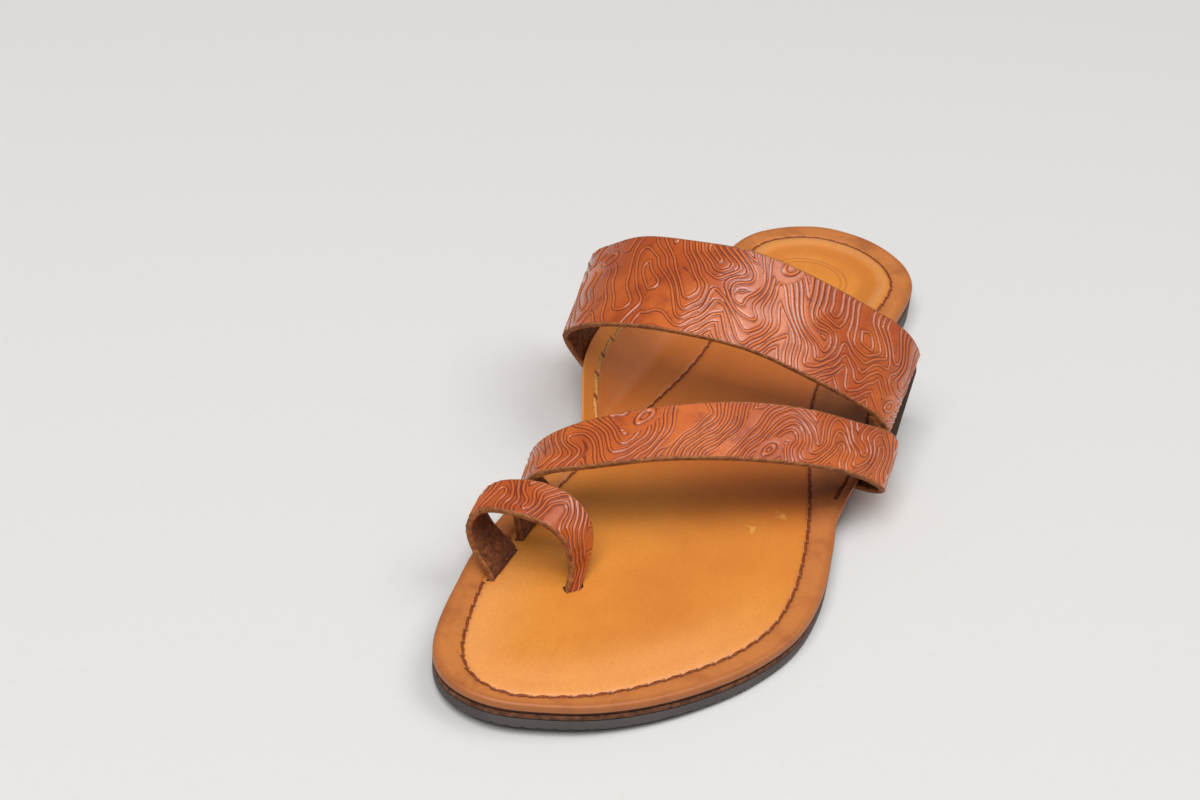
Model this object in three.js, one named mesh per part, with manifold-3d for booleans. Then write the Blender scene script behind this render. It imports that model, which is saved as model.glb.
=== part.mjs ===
// Left leather sandal with a toe loop, a front strap and a broad instep strap.
// Millimetres, +Z up. The toe points to -Y, the medial side is -X, and the sole stands on z = 0.
import * as THREE from 'three';
import { mergeVertices } from 'three/addons/utils/BufferGeometryUtils.js';
import Module from 'manifold-3d';

const wasm = await Module();
wasm.setup();

// Sole sizes
const SOLE_LENGTH = 286.5;
const TOE_SPRING = 3;
const TOE_SPRING_START = 75;
const WAIST_ARCH = 1.2;
const WAIST_ARCH_SPAN = [118, 206];
const FOREFOOT_RUBBER = 4;
const HEEL_LIFT = 4.4;
const HEEL_LIFT_SPAN = [110, 215];
const RUBBER_EDGE_ROUND = 1.4;
const MIDSOLE_THICKNESS = 1.6;
const LAYER_GAP = 0.3;

// Footbed sizes
const FOOTBED_THICKNESS = 3.4;
const FOOTBED_EDGE_ROUND = 0.9;
const PAD_INSET = 9;
const PAD_SLOPE = 8;
const PAD_RISE = 0.9;
const HEEL_CUP_DEPTH = 1.9;
const HEEL_CUP_SPAN = [196, 240];
const HEEL_CUP_SLOPE = [6, 28];
const WING_CURVE = 1.35;

// Strap sizes
const STRAP_WALL = 2;
const STRAP_CLEARANCE = 0.3;

// Mesh fineness
const SOLE_STATIONS = 44;
const FOOTBED_STATIONS = 52;
const FOOTBED_COLUMNS = 22;
const FOOTBED_EDGE_CROWDING = 0.5;
const STRAP_COLUMNS = 5;
const STEPS_PER_ROW = 3;
const TIP_ANGLE = 0.045;
const NARROWEST_HALF = 0.4;

// Plan of the sole: distance along from the toe tip, x of the medial edge, x of the lateral edge
const SOLE_PLAN = [
  { along: 0, medial: -24.9, lateral: -24.9 },
  { along: 3, medial: -37.2, lateral: -10.2 },
  { along: 8, medial: -43.2, lateral: 2.4 },
  { along: 16, medial: -47.6, lateral: 15.1 },
  { along: 28, medial: -50.3, lateral: 28.3 },
  { along: 44, medial: -51.7, lateral: 41 },
  { along: 62, medial: -52.4, lateral: 49.6 },
  { along: 80, medial: -50.4, lateral: 52.3 },
  { along: 100, medial: -46.3, lateral: 51.2 },
  { along: 120, medial: -42.3, lateral: 48.3 },
  { along: 143, medial: -35.7, lateral: 44 },
  { along: 170, medial: -29.5, lateral: 39.6 },
  { along: 195, medial: -26.3, lateral: 38.8 },
  { along: 220, medial: -25.7, lateral: 42 },
  { along: 244, medial: -26.1, lateral: 45.3 },
  { along: 258, medial: -24.5, lateral: 45.4 },
  { along: 270, medial: -19.7, lateral: 40.7 },
  { along: 279, medial: -10.9, lateral: 32 },
  { along: 284, medial: -2.3, lateral: 23 },
  { along: SOLE_LENGTH, medial: 8.5, lateral: 8.5 },
];

// Turned-up wings of the footbed: how far each reaches past the sole, and how far it rises
const WINGS = [
  { along: 0, medialReach: 0, medialRise: 0, lateralReach: 0, lateralRise: 0 },
  { along: 118, medialReach: 0, medialRise: 0, lateralReach: 0, lateralRise: 0 },
  { along: 131, medialReach: 2.8, medialRise: 3.6, lateralReach: 3.4, lateralRise: 1.6 },
  { along: 138, medialReach: 7.4, medialRise: 8.6, lateralReach: 6, lateralRise: 3 },
  { along: 146, medialReach: 12.4, medialRise: 11.2, lateralReach: 8.6, lateralRise: 4.8 },
  { along: 156, medialReach: 17, medialRise: 12.4, lateralReach: 10.4, lateralRise: 6.2 },
  { along: 172, medialReach: 20, medialRise: 13, lateralReach: 10.8, lateralRise: 6.8 },
  { along: 190, medialReach: 18.5, medialRise: 11.6, lateralReach: 9, lateralRise: 5.6 },
  { along: 208, medialReach: 12, medialRise: 7.4, lateralReach: 4.6, lateralRise: 2.8 },
  { along: 224, medialReach: 5, medialRise: 3, lateralReach: 1, lateralRise: 0.6 },
  { along: 238, medialReach: 0, medialRise: 0, lateralReach: 0, lateralRise: 0 },
  { along: SOLE_LENGTH, medialReach: 0, medialRise: 0, lateralReach: 0, lateralRise: 0 },
];

// Straps: each row is one section, from the medial end to the lateral end,
// with the outer face's front edge (fore) and rear edge (aft) as x, y, z
const FRONT_STRAP = [
  { fore: [-42, -73.5, 6.9], aft: [-39.2, -49, 6.9] },
  { fore: [-42.4, -73.4, 11.5], aft: [-40, -48.8, 11.5] },
  { fore: [-44.5, -72, 20], aft: [-45, -52, 20] },
  { fore: [-42.5, -70.5, 29], aft: [-46, -53.5, 27] },
  { fore: [-36, -70, 36], aft: [-42, -52.5, 34.5] },
  { fore: [-22, -67.2, 40.3], aft: [-30, -49.5, 42.8] },
  { fore: [-3, -58.8, 43], aft: [-9.5, -41, 48.5] },
  { fore: [19, -48, 42], aft: [13, -28.5, 48.5] },
  { fore: [36, -37.5, 37.5], aft: [33.5, -17, 43.8] },
  { fore: [50, -26, 30], aft: [48, -6.5, 35.5] },
  { fore: [58.5, -17, 21], aft: [58.5, 4, 27] },
  { fore: [60.6, -13.5, 16.5], aft: [60.6, 7.5, 19] },
  { fore: [59.4, -9.8, 12], aft: [58.4, 11.5, 12.8] },
  { fore: [54.5, -7, 8.9], aft: [52, 14, 9.6] },
  { fore: [47, -4.5, 7.6], aft: [43.5, 16, 8.6] },
  { fore: [38, -2, 7.4], aft: [34, 18, 8.6] },
];
const INSTEP_STRAP = [
  { fore: [-26, 10, 8], aft: [-17, 46, 10.3] },
  { fore: [-34, 10, 8.1], aft: [-26, 46.5, 10.5] },
  { fore: [-42.5, 10, 11.2], aft: [-36, 47, 13.6] },
  { fore: [-50.5, 10.5, 17.8], aft: [-48, 46.5, 20.2] },
  { fore: [-57, 8.5, 28.5], aft: [-58.5, 42.5, 31] },
  { fore: [-52, 0, 39.5], aft: [-57.5, 38, 45.5] },
  { fore: [-43, -6.5, 48], aft: [-48.2, 31, 56] },
  { fore: [-28, -10, 54], aft: [-36.5, 25, 65.6] },
  { fore: [-8, -12, 57], aft: [-17.5, 18.6, 72.2] },
  { fore: [12, -11.5, 56], aft: [4, 16, 75] },
  { fore: [28, -8.2, 49.7], aft: [24, 20.8, 67.3] },
  { fore: [42, -3.5, 42], aft: [41.5, 31, 54.5] },
  { fore: [52.5, 2, 33.5], aft: [53, 38, 44.5] },
  { fore: [56.8, 3.6, 27.2], aft: [58, 44, 33] },
];
const LATERAL_TAIL = [
  { fore: [50.9, 2.4, 32.6], aft: [51.4, 37.8, 43.6] },
  { fore: [55.7, 3.2, 26], aft: [56.4, 43.6, 32.4] },
  { fore: [58.8, 4, 18.5], aft: [58.4, 47, 22.4] },
  { fore: [55.6, 15.5, 12], aft: [54.8, 48.5, 14] },
  { fore: [45, 20, 9.4], aft: [43.5, 49, 11] },
  { fore: [35, 22, 9.1], aft: [31, 49, 10.8] },
];
const TOE_LOOP = [
  { fore: [-43.2, -94.4, 7.2], aft: [-41.6, -78.2, 7.2] },
  { fore: [-43.8, -94.2, 11], aft: [-42.2, -78.3, 11] },
  { fore: [-49, -92.6, 16.4], aft: [-48.4, -78.6, 16.6] },
  { fore: [-52, -92, 24], aft: [-52.4, -79, 24] },
  { fore: [-51, -91.5, 30], aft: [-51.6, -79, 30] },
  { fore: [-47.5, -91, 33.6], aft: [-47.6, -77.6, 34.2] },
  { fore: [-41, -91, 35.3], aft: [-40.5, -76.5, 36.4] },
  { fore: [-33, -90.4, 34.8], aft: [-32, -75.5, 36.6] },
  { fore: [-26, -89.6, 32.2], aft: [-24, -75.5, 34.4] },
  { fore: [-21, -89, 26.6], aft: [-18.6, -76, 29] },
  { fore: [-18.9, -89, 20], aft: [-16.2, -77, 22] },
  { fore: [-18.3, -90, 14.8], aft: [-15.8, -82, 15.4] },
  { fore: [-19.4, -92.2, 10.4], aft: [-15.7, -88.8, 10.4] },
  { fore: [-19.6, -92.6, 7.2], aft: [-15.9, -89.4, 7.2] },
];

const smooth = (value, from, to) => THREE.MathUtils.smoothstep(value, from, to);
const lerp = THREE.MathUtils.lerp;

// The round ends of the plan follow the angle of a half turn from toe to heel
const angleOf = (along) => Math.acos(1 - (2 * along) / SOLE_LENGTH);
const alongOf = (angle) => (SOLE_LENGTH * (1 - Math.cos(angle))) / 2;

// Smooth curve through one column of a table, by Hermite spans
function column(rows, name, knotOf) {
  const knots = rows.map((row) => knotOf(row.along));
  const values = rows.map((row) => row[name]);
  const last = rows.length - 1;
  const slope = (i) => (values[i + 1] - values[i]) / (knots[i + 1] - knots[i]);
  const tangent = (i) => {
    if (i === 0) return slope(0);
    if (i === last) return slope(last - 1);
    const before = knots[i] - knots[i - 1];
    const after = knots[i + 1] - knots[i];
    return (slope(i - 1) * after + slope(i) * before) / (before + after);
  };
  return (along) => {
    const knot = knotOf(along);
    let i = 0;
    while (i < last - 1 && knot > knots[i + 1]) i += 1;
    const span = knots[i + 1] - knots[i];
    const u = (knot - knots[i]) / span;
    const ease = u * u * (3 - 2 * u);
    const lead = u * (1 - u) * (1 - u);
    const trail = u * u * (u - 1);
    return lerp(values[i], values[i + 1], ease) + span * (lead * tangent(i) + trail * tangent(i + 1));
  };
}

const medialEdge = column(SOLE_PLAN, 'medial', angleOf);
const lateralEdge = column(SOLE_PLAN, 'lateral', angleOf);
const wing = {};
for (const name of ['medialReach', 'medialRise', 'lateralReach', 'lateralRise']) {
  const curve = column(WINGS, name, (along) => along);
  wing[name] = (along) => Math.max(0, curve(along));
}

// Heights along the sole
function groundHeight(along) {
  const spring = Math.max(0, 1 - along / TOE_SPRING_START);
  const [archStart, archEnd] = WAIST_ARCH_SPAN;
  const arch = THREE.MathUtils.clamp((along - archStart) / (archEnd - archStart), 0, 1);
  return TOE_SPRING * spring * spring + WAIST_ARCH * Math.sin(Math.PI * arch) ** 2;
}
function rubberTop(along) {
  const spring = Math.max(0, 1 - along / TOE_SPRING_START);
  return FOREFOOT_RUBBER + TOE_SPRING * spring * spring + HEEL_LIFT * smooth(along, ...HEEL_LIFT_SPAN);
}
const midsoleBottom = (along) => rubberTop(along) + LAYER_GAP;
const midsoleTop = (along) => midsoleBottom(along) + MIDSOLE_THICKNESS;
const footbedBottom = (along) => midsoleTop(along) + LAYER_GAP;
const rimHeight = (along) => footbedBottom(along) + FOOTBED_THICKNESS;

// Stations from toe to heel, a little short of the two tips so that no facet has zero width
function stations(count) {
  const list = [];
  for (let i = 0; i < count; i += 1) {
    list.push(alongOf(lerp(TIP_ANGLE, Math.PI - TIP_ANGLE, i / (count - 1))));
  }
  return list;
}

function closedGeometry(positions, indices) {
  const geometry = new THREE.BufferGeometry();
  geometry.setAttribute('position', new THREE.Float32BufferAttribute(positions, 3));
  geometry.setIndex(indices);
  return geometry;
}

// A layer of the sole: rings of the plan, one for each level, closed by strips across both ends
function soleLayer(levels) {
  const list = stations(SOLE_STATIONS);
  const loopLength = 2 * list.length;
  const positions = [];
  for (const { inset, height } of levels) {
    const lengthScale = 1 - (2 * inset) / SOLE_LENGTH;
    const medial = [];
    const lateral = [];
    for (const along of list) {
      const middle = (medialEdge(along) + lateralEdge(along)) / 2;
      const half = Math.max(NARROWEST_HALF, (lateralEdge(along) - medialEdge(along)) / 2 - inset);
      const y = (along - SOLE_LENGTH / 2) * lengthScale;
      medial.push([middle - half, y, height(along)]);
      lateral.push([middle + half, y, height(along)]);
    }
    positions.push(...medial.flat(), ...lateral.reverse().flat());
  }
  const indices = [];
  for (let level = 0; level + 1 < levels.length; level += 1) {
    for (let i = 0; i < loopLength; i += 1) {
      const a = level * loopLength + i;
      const b = level * loopLength + ((i + 1) % loopLength);
      indices.push(a, a + loopLength, b, b, a + loopLength, b + loopLength);
    }
  }
  const top = (levels.length - 1) * loopLength;
  for (let i = 0; i + 1 < list.length; i += 1) {
    const medial = i;
    const lateral = loopLength - 1 - i;
    indices.push(medial, medial + 1, lateral, lateral, medial + 1, lateral - 1);
    indices.push(top + medial, top + lateral, top + medial + 1);
    indices.push(top + lateral, top + lateral - 1, top + medial + 1);
  }
  return closedGeometry(positions, indices);
}

// Top face of the footbed above its rim: pad, heel cup and the wings on both sides
function footbedRelief(along, x) {
  const fromMedial = x - medialEdge(along);
  const fromLateral = lateralEdge(along) - x;
  const inside = Math.min(fromMedial, fromLateral, along, SOLE_LENGTH - along);
  const heel = smooth(along, ...HEEL_CUP_SPAN);
  const pad = PAD_RISE * (1 - heel) * smooth(inside, PAD_INSET, PAD_INSET + PAD_SLOPE);
  const cup = HEEL_CUP_DEPTH * heel * smooth(inside, ...HEEL_CUP_SLOPE);
  const rise = (out, reach, height) => (out > 0 && reach > 0 ? height * (out / reach) ** WING_CURVE : 0);
  const medialWing = rise(-fromMedial, wing.medialReach(along), wing.medialRise(along));
  const lateralWing = rise(-fromLateral, wing.lateralReach(along), wing.lateralRise(along));
  return { flat: pad - cup, wing: medialWing + lateralWing };
}

// The footbed: a top and a bottom grid, with a rounded upper edge all round
function footbedSolid() {
  const list = stations(FOOTBED_STATIONS);
  const columns = FOOTBED_COLUMNS;
  const grid = (layer) => {
    const points = [];
    const lengthScale = 1 - (2 * layer.inset) / SOLE_LENGTH;
    for (const along of list) {
      const low = medialEdge(along) - wing.medialReach(along);
      const high = lateralEdge(along) + wing.lateralReach(along);
      for (let j = 0; j < columns; j += 1) {
        const even = j / (columns - 1);
        const crowded = (1 - Math.cos(Math.PI * even)) / 2;
        const share = lerp(even, crowded, FOOTBED_EDGE_CROWDING);
        const x = lerp(low + layer.inset, high - layer.inset, share);
        points.push([x, (along - SOLE_LENGTH / 2) * lengthScale, layer.height(along, x)]);
      }
    }
    return points;
  };
  const topHeight = (along, x) => {
    const relief = footbedRelief(along, x);
    return rimHeight(along) + relief.flat + relief.wing;
  };
  const top = grid({ inset: FOOTBED_EDGE_ROUND, height: topHeight });
  const shoulder = grid({ inset: 0, height: (along, x) => topHeight(along, x) - FOOTBED_EDGE_ROUND });
  const bottomHeight = (along, x) => footbedBottom(along) + footbedRelief(along, x).wing;
  const bottom = grid({ inset: 0, height: bottomHeight });
  const cells = list.length * columns;
  const indices = [];
  const at = (i, j) => i * columns + j;
  for (let i = 0; i + 1 < list.length; i += 1) {
    for (let j = 0; j + 1 < columns; j += 1) {
      const corners = [at(i, j), at(i, j + 1), at(i + 1, j + 1), at(i + 1, j)];
      indices.push(corners[0], corners[1], corners[2], corners[0], corners[2], corners[3]);
      const under = corners.map((corner) => corner + 2 * cells);
      indices.push(under[0], under[2], under[1], under[0], under[3], under[2]);
    }
  }
  const loop = [];
  for (let j = 0; j < columns; j += 1) loop.push(at(0, j));
  for (let i = 1; i < list.length; i += 1) loop.push(at(i, columns - 1));
  for (let j = columns - 2; j >= 0; j -= 1) loop.push(at(list.length - 1, j));
  for (let i = list.length - 2; i > 0; i -= 1) loop.push(at(i, 0));
  for (let layer = 0; layer < 2; layer += 1) {
    loop.forEach((here, k) => {
      const next = loop[(k + 1) % loop.length];
      const a = here + layer * cells;
      const b = next + layer * cells;
      indices.push(a, a + cells, b, b, a + cells, b + cells);
    });
  }
  return closedGeometry([...top, ...shoulder, ...bottom].flat(), indices);
}

// A strap: a band of leather lofted through the rows of its table, with its wall inside the outer face.
// grow makes it larger all round, for a slot with clearance.
function strapSolid(rows, grow = 0) {
  const edgeCurve = (name) => {
    const points = rows.map((row) => new THREE.Vector3(...row[name]));
    return new THREE.CatmullRomCurve3(points, false, 'centripetal');
  };
  const fore = edgeCurve('fore');
  const aft = edgeCurve('aft');
  const steps = (rows.length - 1) * STEPS_PER_ROW;
  const outer = [];
  const inner = [];
  for (let i = 0; i <= steps; i += 1) {
    const t = i / steps;
    const start = fore.getPoint(t);
    const end = aft.getPoint(t);
    const across = end.clone().sub(start).normalize();
    const along = fore.getTangent(t).add(aft.getTangent(t)).normalize();
    const outward = along.clone().cross(across).normalize();
    const endShift = i === 0 ? -grow : i === steps ? grow : 0;
    for (let j = 0; j < STRAP_COLUMNS; j += 1) {
      const point = start.clone().lerp(end, j / (STRAP_COLUMNS - 1));
      const edgeShift = j === 0 ? -grow : j === STRAP_COLUMNS - 1 ? grow : 0;
      point.addScaledVector(across, edgeShift).addScaledVector(along, endShift);
      outer.push(point.clone().addScaledVector(outward, grow).toArray());
      inner.push(point.addScaledVector(outward, -STRAP_WALL - grow).toArray());
    }
  }
  const cells = outer.length;
  const at = (i, j) => i * STRAP_COLUMNS + j;
  const indices = [];
  for (let i = 0; i < steps; i += 1) {
    for (let j = 0; j + 1 < STRAP_COLUMNS; j += 1) {
      const [a, b, c, d] = [at(i, j), at(i + 1, j), at(i + 1, j + 1), at(i, j + 1)];
      indices.push(a, b, c, a, c, d);
      indices.push(a + cells, c + cells, b + cells, a + cells, d + cells, c + cells);
    }
  }
  const loop = [];
  for (let i = 0; i <= steps; i += 1) loop.push(at(i, 0));
  for (let j = 1; j < STRAP_COLUMNS; j += 1) loop.push(at(steps, j));
  for (let i = steps - 1; i >= 0; i -= 1) loop.push(at(i, STRAP_COLUMNS - 1));
  for (let j = STRAP_COLUMNS - 2; j > 0; j -= 1) loop.push(at(0, j));
  loop.forEach((a, k) => {
    const b = loop[(k + 1) % loop.length];
    indices.push(a, a + cells, b, b, a + cells, b + cells);
  });
  return closedGeometry([...outer, ...inner].flat(), indices);
}

// Joining and cutting
function solidOf(geometry) {
  const merged = mergeVertices(geometry);
  const vertProperties = new Float32Array(merged.attributes.position.array);
  const triVerts = new Uint32Array(merged.index.array);
  return new wasm.Manifold(new wasm.Mesh({ numProp: 3, vertProperties, triVerts }));
}
function geometryOf(solid) {
  const { vertProperties, triVerts } = solid.getMesh();
  return closedGeometry(vertProperties, new THREE.Uint32BufferAttribute(triVerts, 1));
}

// One named piece with its own finish
function piece(name, geometry, color, roughness) {
  const material = new THREE.MeshStandardMaterial({ color, roughness, metalness: 0 });
  const mesh = new THREE.Mesh(geometry, material);
  mesh.name = name;
  return mesh;
}

const outsole = soleLayer([
  { inset: RUBBER_EDGE_ROUND, height: groundHeight },
  { inset: RUBBER_EDGE_ROUND / 3, height: (along) => groundHeight(along) + RUBBER_EDGE_ROUND / 3 },
  { inset: 0, height: (along) => groundHeight(along) + RUBBER_EDGE_ROUND },
  { inset: 0, height: rubberTop },
]);
const midsole = soleLayer([
  { inset: 0, height: midsoleBottom },
  { inset: 0, height: midsoleTop },
]);

// The instep strap ends over a lateral tail, and the tail goes on down to the sole
const strapUpper = solidOf(strapSolid(FRONT_STRAP))
  .add(solidOf(strapSolid(INSTEP_STRAP)))
  .add(solidOf(strapSolid(LATERAL_TAIL)));
const toeLoop = strapSolid(TOE_LOOP);

// Slots and recesses for the straps in the footbed
let footbed = solidOf(footbedSolid());
for (const rows of [FRONT_STRAP, INSTEP_STRAP, LATERAL_TAIL, TOE_LOOP]) {
  footbed = footbed.subtract(solidOf(strapSolid(rows, STRAP_CLEARANCE)));
}

const sandal = new THREE.Group();
sandal.add(piece('outsole', outsole, 0x4b4644, 0.7));
sandal.add(piece('midsole', midsole, 0x5e3a24, 0.85));
sandal.add(piece('footbed', geometryOf(footbed), 0xc27f35, 0.45));
sandal.add(piece('strap_upper', geometryOf(strapUpper), 0x9c4a1f, 0.42));
sandal.add(piece('toe_loop', toeLoop, 0x9c4a1f, 0.42));

// The origin is under the middle of the whole sandal, on the floor
const middle = new THREE.Box3().setFromObject(sandal).getCenter(new THREE.Vector3());
sandal.position.set(-middle.x, -middle.y, 0);
const part = new THREE.Group();
part.add(sandal);

export default part;
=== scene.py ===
# %% [markdown]
# # A leather toe-loop sandal, made cell by cell
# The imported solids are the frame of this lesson. They fix where every layer and strap lies and how big
# it is. Each step below makes one piece of the real sandal again with a fine surface and a finish of
# its own, in the same place. All sizes are millimetres in the shoe's own frame: toe towards -Y, inner
# side of the foot towards -X, floor at z = 0. Two helpers turn them into Blender's metres.
# %% Load the frame
import math

import bmesh
import bpy
import numpy as np
from mathutils import Matrix, Vector, noise


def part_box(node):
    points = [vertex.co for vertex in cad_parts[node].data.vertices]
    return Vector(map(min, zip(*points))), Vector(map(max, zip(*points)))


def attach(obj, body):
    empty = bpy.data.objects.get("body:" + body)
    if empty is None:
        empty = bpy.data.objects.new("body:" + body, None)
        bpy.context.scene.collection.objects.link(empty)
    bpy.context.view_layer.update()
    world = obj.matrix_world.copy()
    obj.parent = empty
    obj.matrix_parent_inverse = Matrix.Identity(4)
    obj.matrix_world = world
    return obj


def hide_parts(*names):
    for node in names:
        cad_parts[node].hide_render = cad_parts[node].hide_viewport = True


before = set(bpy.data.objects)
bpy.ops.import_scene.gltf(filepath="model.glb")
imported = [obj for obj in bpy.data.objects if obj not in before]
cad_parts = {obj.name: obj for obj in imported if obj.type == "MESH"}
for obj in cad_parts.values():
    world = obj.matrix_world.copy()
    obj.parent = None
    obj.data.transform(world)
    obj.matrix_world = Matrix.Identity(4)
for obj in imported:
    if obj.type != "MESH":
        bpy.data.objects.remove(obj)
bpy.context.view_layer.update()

MM = 0.001
scene = bpy.context.scene
print("solids:", sorted(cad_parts))

# %% [markdown]
# ## The plan of the sole
# A shoemaker starts from the sole pattern. A row gives a distance from the toe tip and the x of both
# edges there. The ends of a sole are round, so the rows are joined over the angle of a half turn
# instead of over the length: a curve that is smooth in that angle closes into a round toe and a round
# heel without extra points.
# %% Sole plan and wings
SOLE_LENGTH = 286.5
SOLE_PLAN = np.array([  # along, medial edge, lateral edge
    (0, -24.9, -24.9), (3, -37.2, -10.2), (8, -43.2, 2.4), (16, -47.6, 15.1), (28, -50.3, 28.3),
    (44, -51.7, 41), (62, -52.4, 49.6), (80, -50.4, 52.3), (100, -46.3, 51.2), (120, -42.3, 48.3),
    (143, -35.7, 44), (170, -29.5, 39.6), (195, -26.3, 38.8), (220, -25.7, 42), (244, -26.1, 45.3),
    (258, -24.5, 45.4), (270, -19.7, 40.7), (279, -10.9, 32), (284, -2.3, 23), (SOLE_LENGTH, 8.5, 8.5),
])
WINGS = np.array([  # along, medial reach, medial rise, lateral reach, lateral rise
    (0, 0, 0, 0, 0), (118, 0, 0, 0, 0), (131, 2.8, 3.6, 3.4, 1.6), (138, 7.4, 8.6, 6, 3),
    (146, 12.4, 11.2, 8.6, 4.8), (156, 17, 12.4, 10.4, 6.2), (172, 20, 13, 10.8, 6.8),
    (190, 18.5, 11.6, 9, 5.6), (208, 12, 7.4, 4.6, 2.8), (224, 5, 3, 1, 0.6), (238, 0, 0, 0, 0),
    (SOLE_LENGTH, 0, 0, 0, 0),
])


def curve_through(knots, values):
    """Smooth curve through a column of a table, by Hermite spans."""
    gaps = np.diff(knots)
    slopes = np.diff(values) / gaps
    middle = (slopes[:-1] * gaps[1:] + slopes[1:] * gaps[:-1]) / (gaps[1:] + gaps[:-1])
    tangents = np.concatenate([slopes[:1], middle, slopes[-1:]])

    def curve(at):
        i = np.clip(np.searchsorted(knots, at) - 1, 0, len(gaps) - 1)
        u = (at - knots[i]) / gaps[i]
        ease = u * u * (3 - 2 * u)
        pull = u * (1 - u) ** 2 * tangents[i] + u * u * (u - 1) * tangents[i + 1]
        return values[i] + (values[i + 1] - values[i]) * ease + gaps[i] * pull

    return curve


def half_turn(along):
    """The angle from toe to heel that goes with a distance along the sole."""
    return np.arccos(np.clip(1 - 2 * np.asarray(along, float) / SOLE_LENGTH, -1, 1))


medial_curve, lateral_curve = (curve_through(half_turn(SOLE_PLAN[:, 0]), SOLE_PLAN[:, k]) for k in (1, 2))
wing_curves = [curve_through(WINGS[:, 0], WINGS[:, k]) for k in range(1, 5)]


def sole_edges(along):
    """x of the medial and the lateral edge of the sole."""
    angle = half_turn(along)
    return medial_curve(angle), lateral_curve(angle)


def wings_at(along):
    """Medial reach and rise, lateral reach and rise of the turned-up leather."""
    return [np.maximum(curve(along), 0) for curve in wing_curves]


print("inner wing reaches out", WINGS[:, 1].max(), "mm, outer wing", WINGS[:, 3].max(), "mm")

# %% Heights of the layers
TOE_SPRING, TOE_SPRING_START = 3, 75
WAIST_ARCH, WAIST_ARCH_START, WAIST_ARCH_END = 1.2, 118, 206
FOREFOOT_RUBBER, HEEL_LIFT, HEEL_LIFT_START, HEEL_LIFT_END = 4, 4.4, 110, 215
LAYER_GAP, MIDSOLE_THICKNESS, FOOTBED_THICKNESS = 0.3, 1.6, 3.4


def along_sole(y):
    """Distance from the toe tip of a place on the plan."""
    return np.clip(y + SOLE_LENGTH / 2, 0, SOLE_LENGTH)


def smoothstep(value, start, end):
    """0 before start, 1 after end, and an even S between them."""
    share = np.clip((value - start) / (end - start), 0, 1)
    return share * share * (3 - 2 * share)


def toe_spring(along):
    """How far the toe curves up off the floor."""
    return TOE_SPRING * np.maximum(1 - along / TOE_SPRING_START, 0) ** 2


def ground_height(along):
    """Height of the tread, which leaves the floor at the toe and under the waist."""
    arch = np.clip((along - WAIST_ARCH_START) / (WAIST_ARCH_END - WAIST_ARCH_START), 0, 1)
    return toe_spring(along) + WAIST_ARCH * np.sin(np.pi * arch) ** 2


def rubber_top(along):
    """Height of the rubber's upper face, which lifts the heel."""
    lift = HEEL_LIFT * smoothstep(along, HEEL_LIFT_START, HEEL_LIFT_END)
    return FOREFOOT_RUBBER + toe_spring(along) + lift


def midsole_bottom(along):
    """Height of the fibre layer's lower face."""
    return rubber_top(along) + LAYER_GAP


def footbed_bottom(along):
    """Height of the footbed's lower face."""
    return midsole_bottom(along) + MIDSOLE_THICKNESS + LAYER_GAP


def rim_height(along):
    """Height of the footbed's rim."""
    return footbed_bottom(along) + FOOTBED_THICKNESS


print("rim in mm at toe, ball, waist and heel:", rim_height(np.array([10, 80, 160, 270])).round(1))

# %% From the shoe's frame to the frame of the solids
PLAN_STEPS = 1200
plan_edges = sole_edges(np.linspace(0, SOLE_LENGTH, PLAN_STEPS))
plan_middle = (plan_edges[0].min() + plan_edges[1].max()) / 2
outsole_low, outsole_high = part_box("outsole")
SHIFT = np.array([(outsole_low.x + outsole_high.x) / 2 / MM - plan_middle, 0, 0])


def row_place(point):
    """A point of the shoe in metres, in the frame of the solids."""
    return Vector((np.asarray(point, float) + SHIFT) * MM)


print("the solids lie", SHIFT.round(3), "mm from the shoe's own frame")

# %% [markdown]
# ## The camera
# The sandal stands flat here, so the camera takes over the tilt: it looks down at the same angle to the
# sole as in the photograph, with a small roll. Three angles and a place say this more plainly than a
# matrix would.
# %% Camera at the photograph's angle
CAMERA_PLACE = np.array([101.05, -497.85, 393.59])
CAMERA_AZIMUTH, CAMERA_ELEVATION, CAMERA_ROLL = 15.780, 36.278, 4.585
CAMERA_LENS, CAMERA_SENSOR = 57.18, 36
NEAREST_SEEN = 10
azimuth, elevation, roll = np.radians([CAMERA_AZIMUTH, CAMERA_ELEVATION, CAMERA_ROLL])
level = Vector((math.cos(azimuth), math.sin(azimuth), 0))
forward = Vector((-math.sin(azimuth), math.cos(azimuth), 0))
back = Vector((0, 0, math.sin(elevation))) - forward * math.cos(elevation)
right = level * math.cos(roll) + back.cross(level) * math.sin(roll)
camera = bpy.data.objects.new("camera", bpy.data.cameras.new("camera"))
scene.collection.objects.link(camera)
camera.data.lens = CAMERA_LENS
camera.data.sensor_width = CAMERA_SENSOR
camera.data.clip_start = NEAREST_SEEN * MM
turned = Matrix((right, back.cross(right), back)).transposed().to_4x4()
camera.matrix_world = Matrix.Translation(row_place(CAMERA_PLACE)) @ turned
scene.camera = camera
print("camera at", [round(value, 3) for value in camera.location])

# %% [markdown]
# ## A helper for fine meshes
# Most pieces here are lofts: rings of points joined by rows of quads. Numpy works out all the points at
# once, and one helper makes the mesh and stores named values on its points for the materials to read.
# Values on points follow the leather in every view, which a picture laid over the scene would not.
# %% Mesh helpers


def ring_faces(rows, columns):
    """Quads between neighbouring closed rings, for points stored ring by ring."""
    i, j = np.meshgrid(np.arange(rows - 1), np.arange(columns), indexing="ij")
    after = (j + 1) % columns
    corners = [i * columns + j, (i + 1) * columns + j, (i + 1) * columns + after, i * columns + after]
    return np.stack(corners, -1).reshape(-1, 4)


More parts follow.
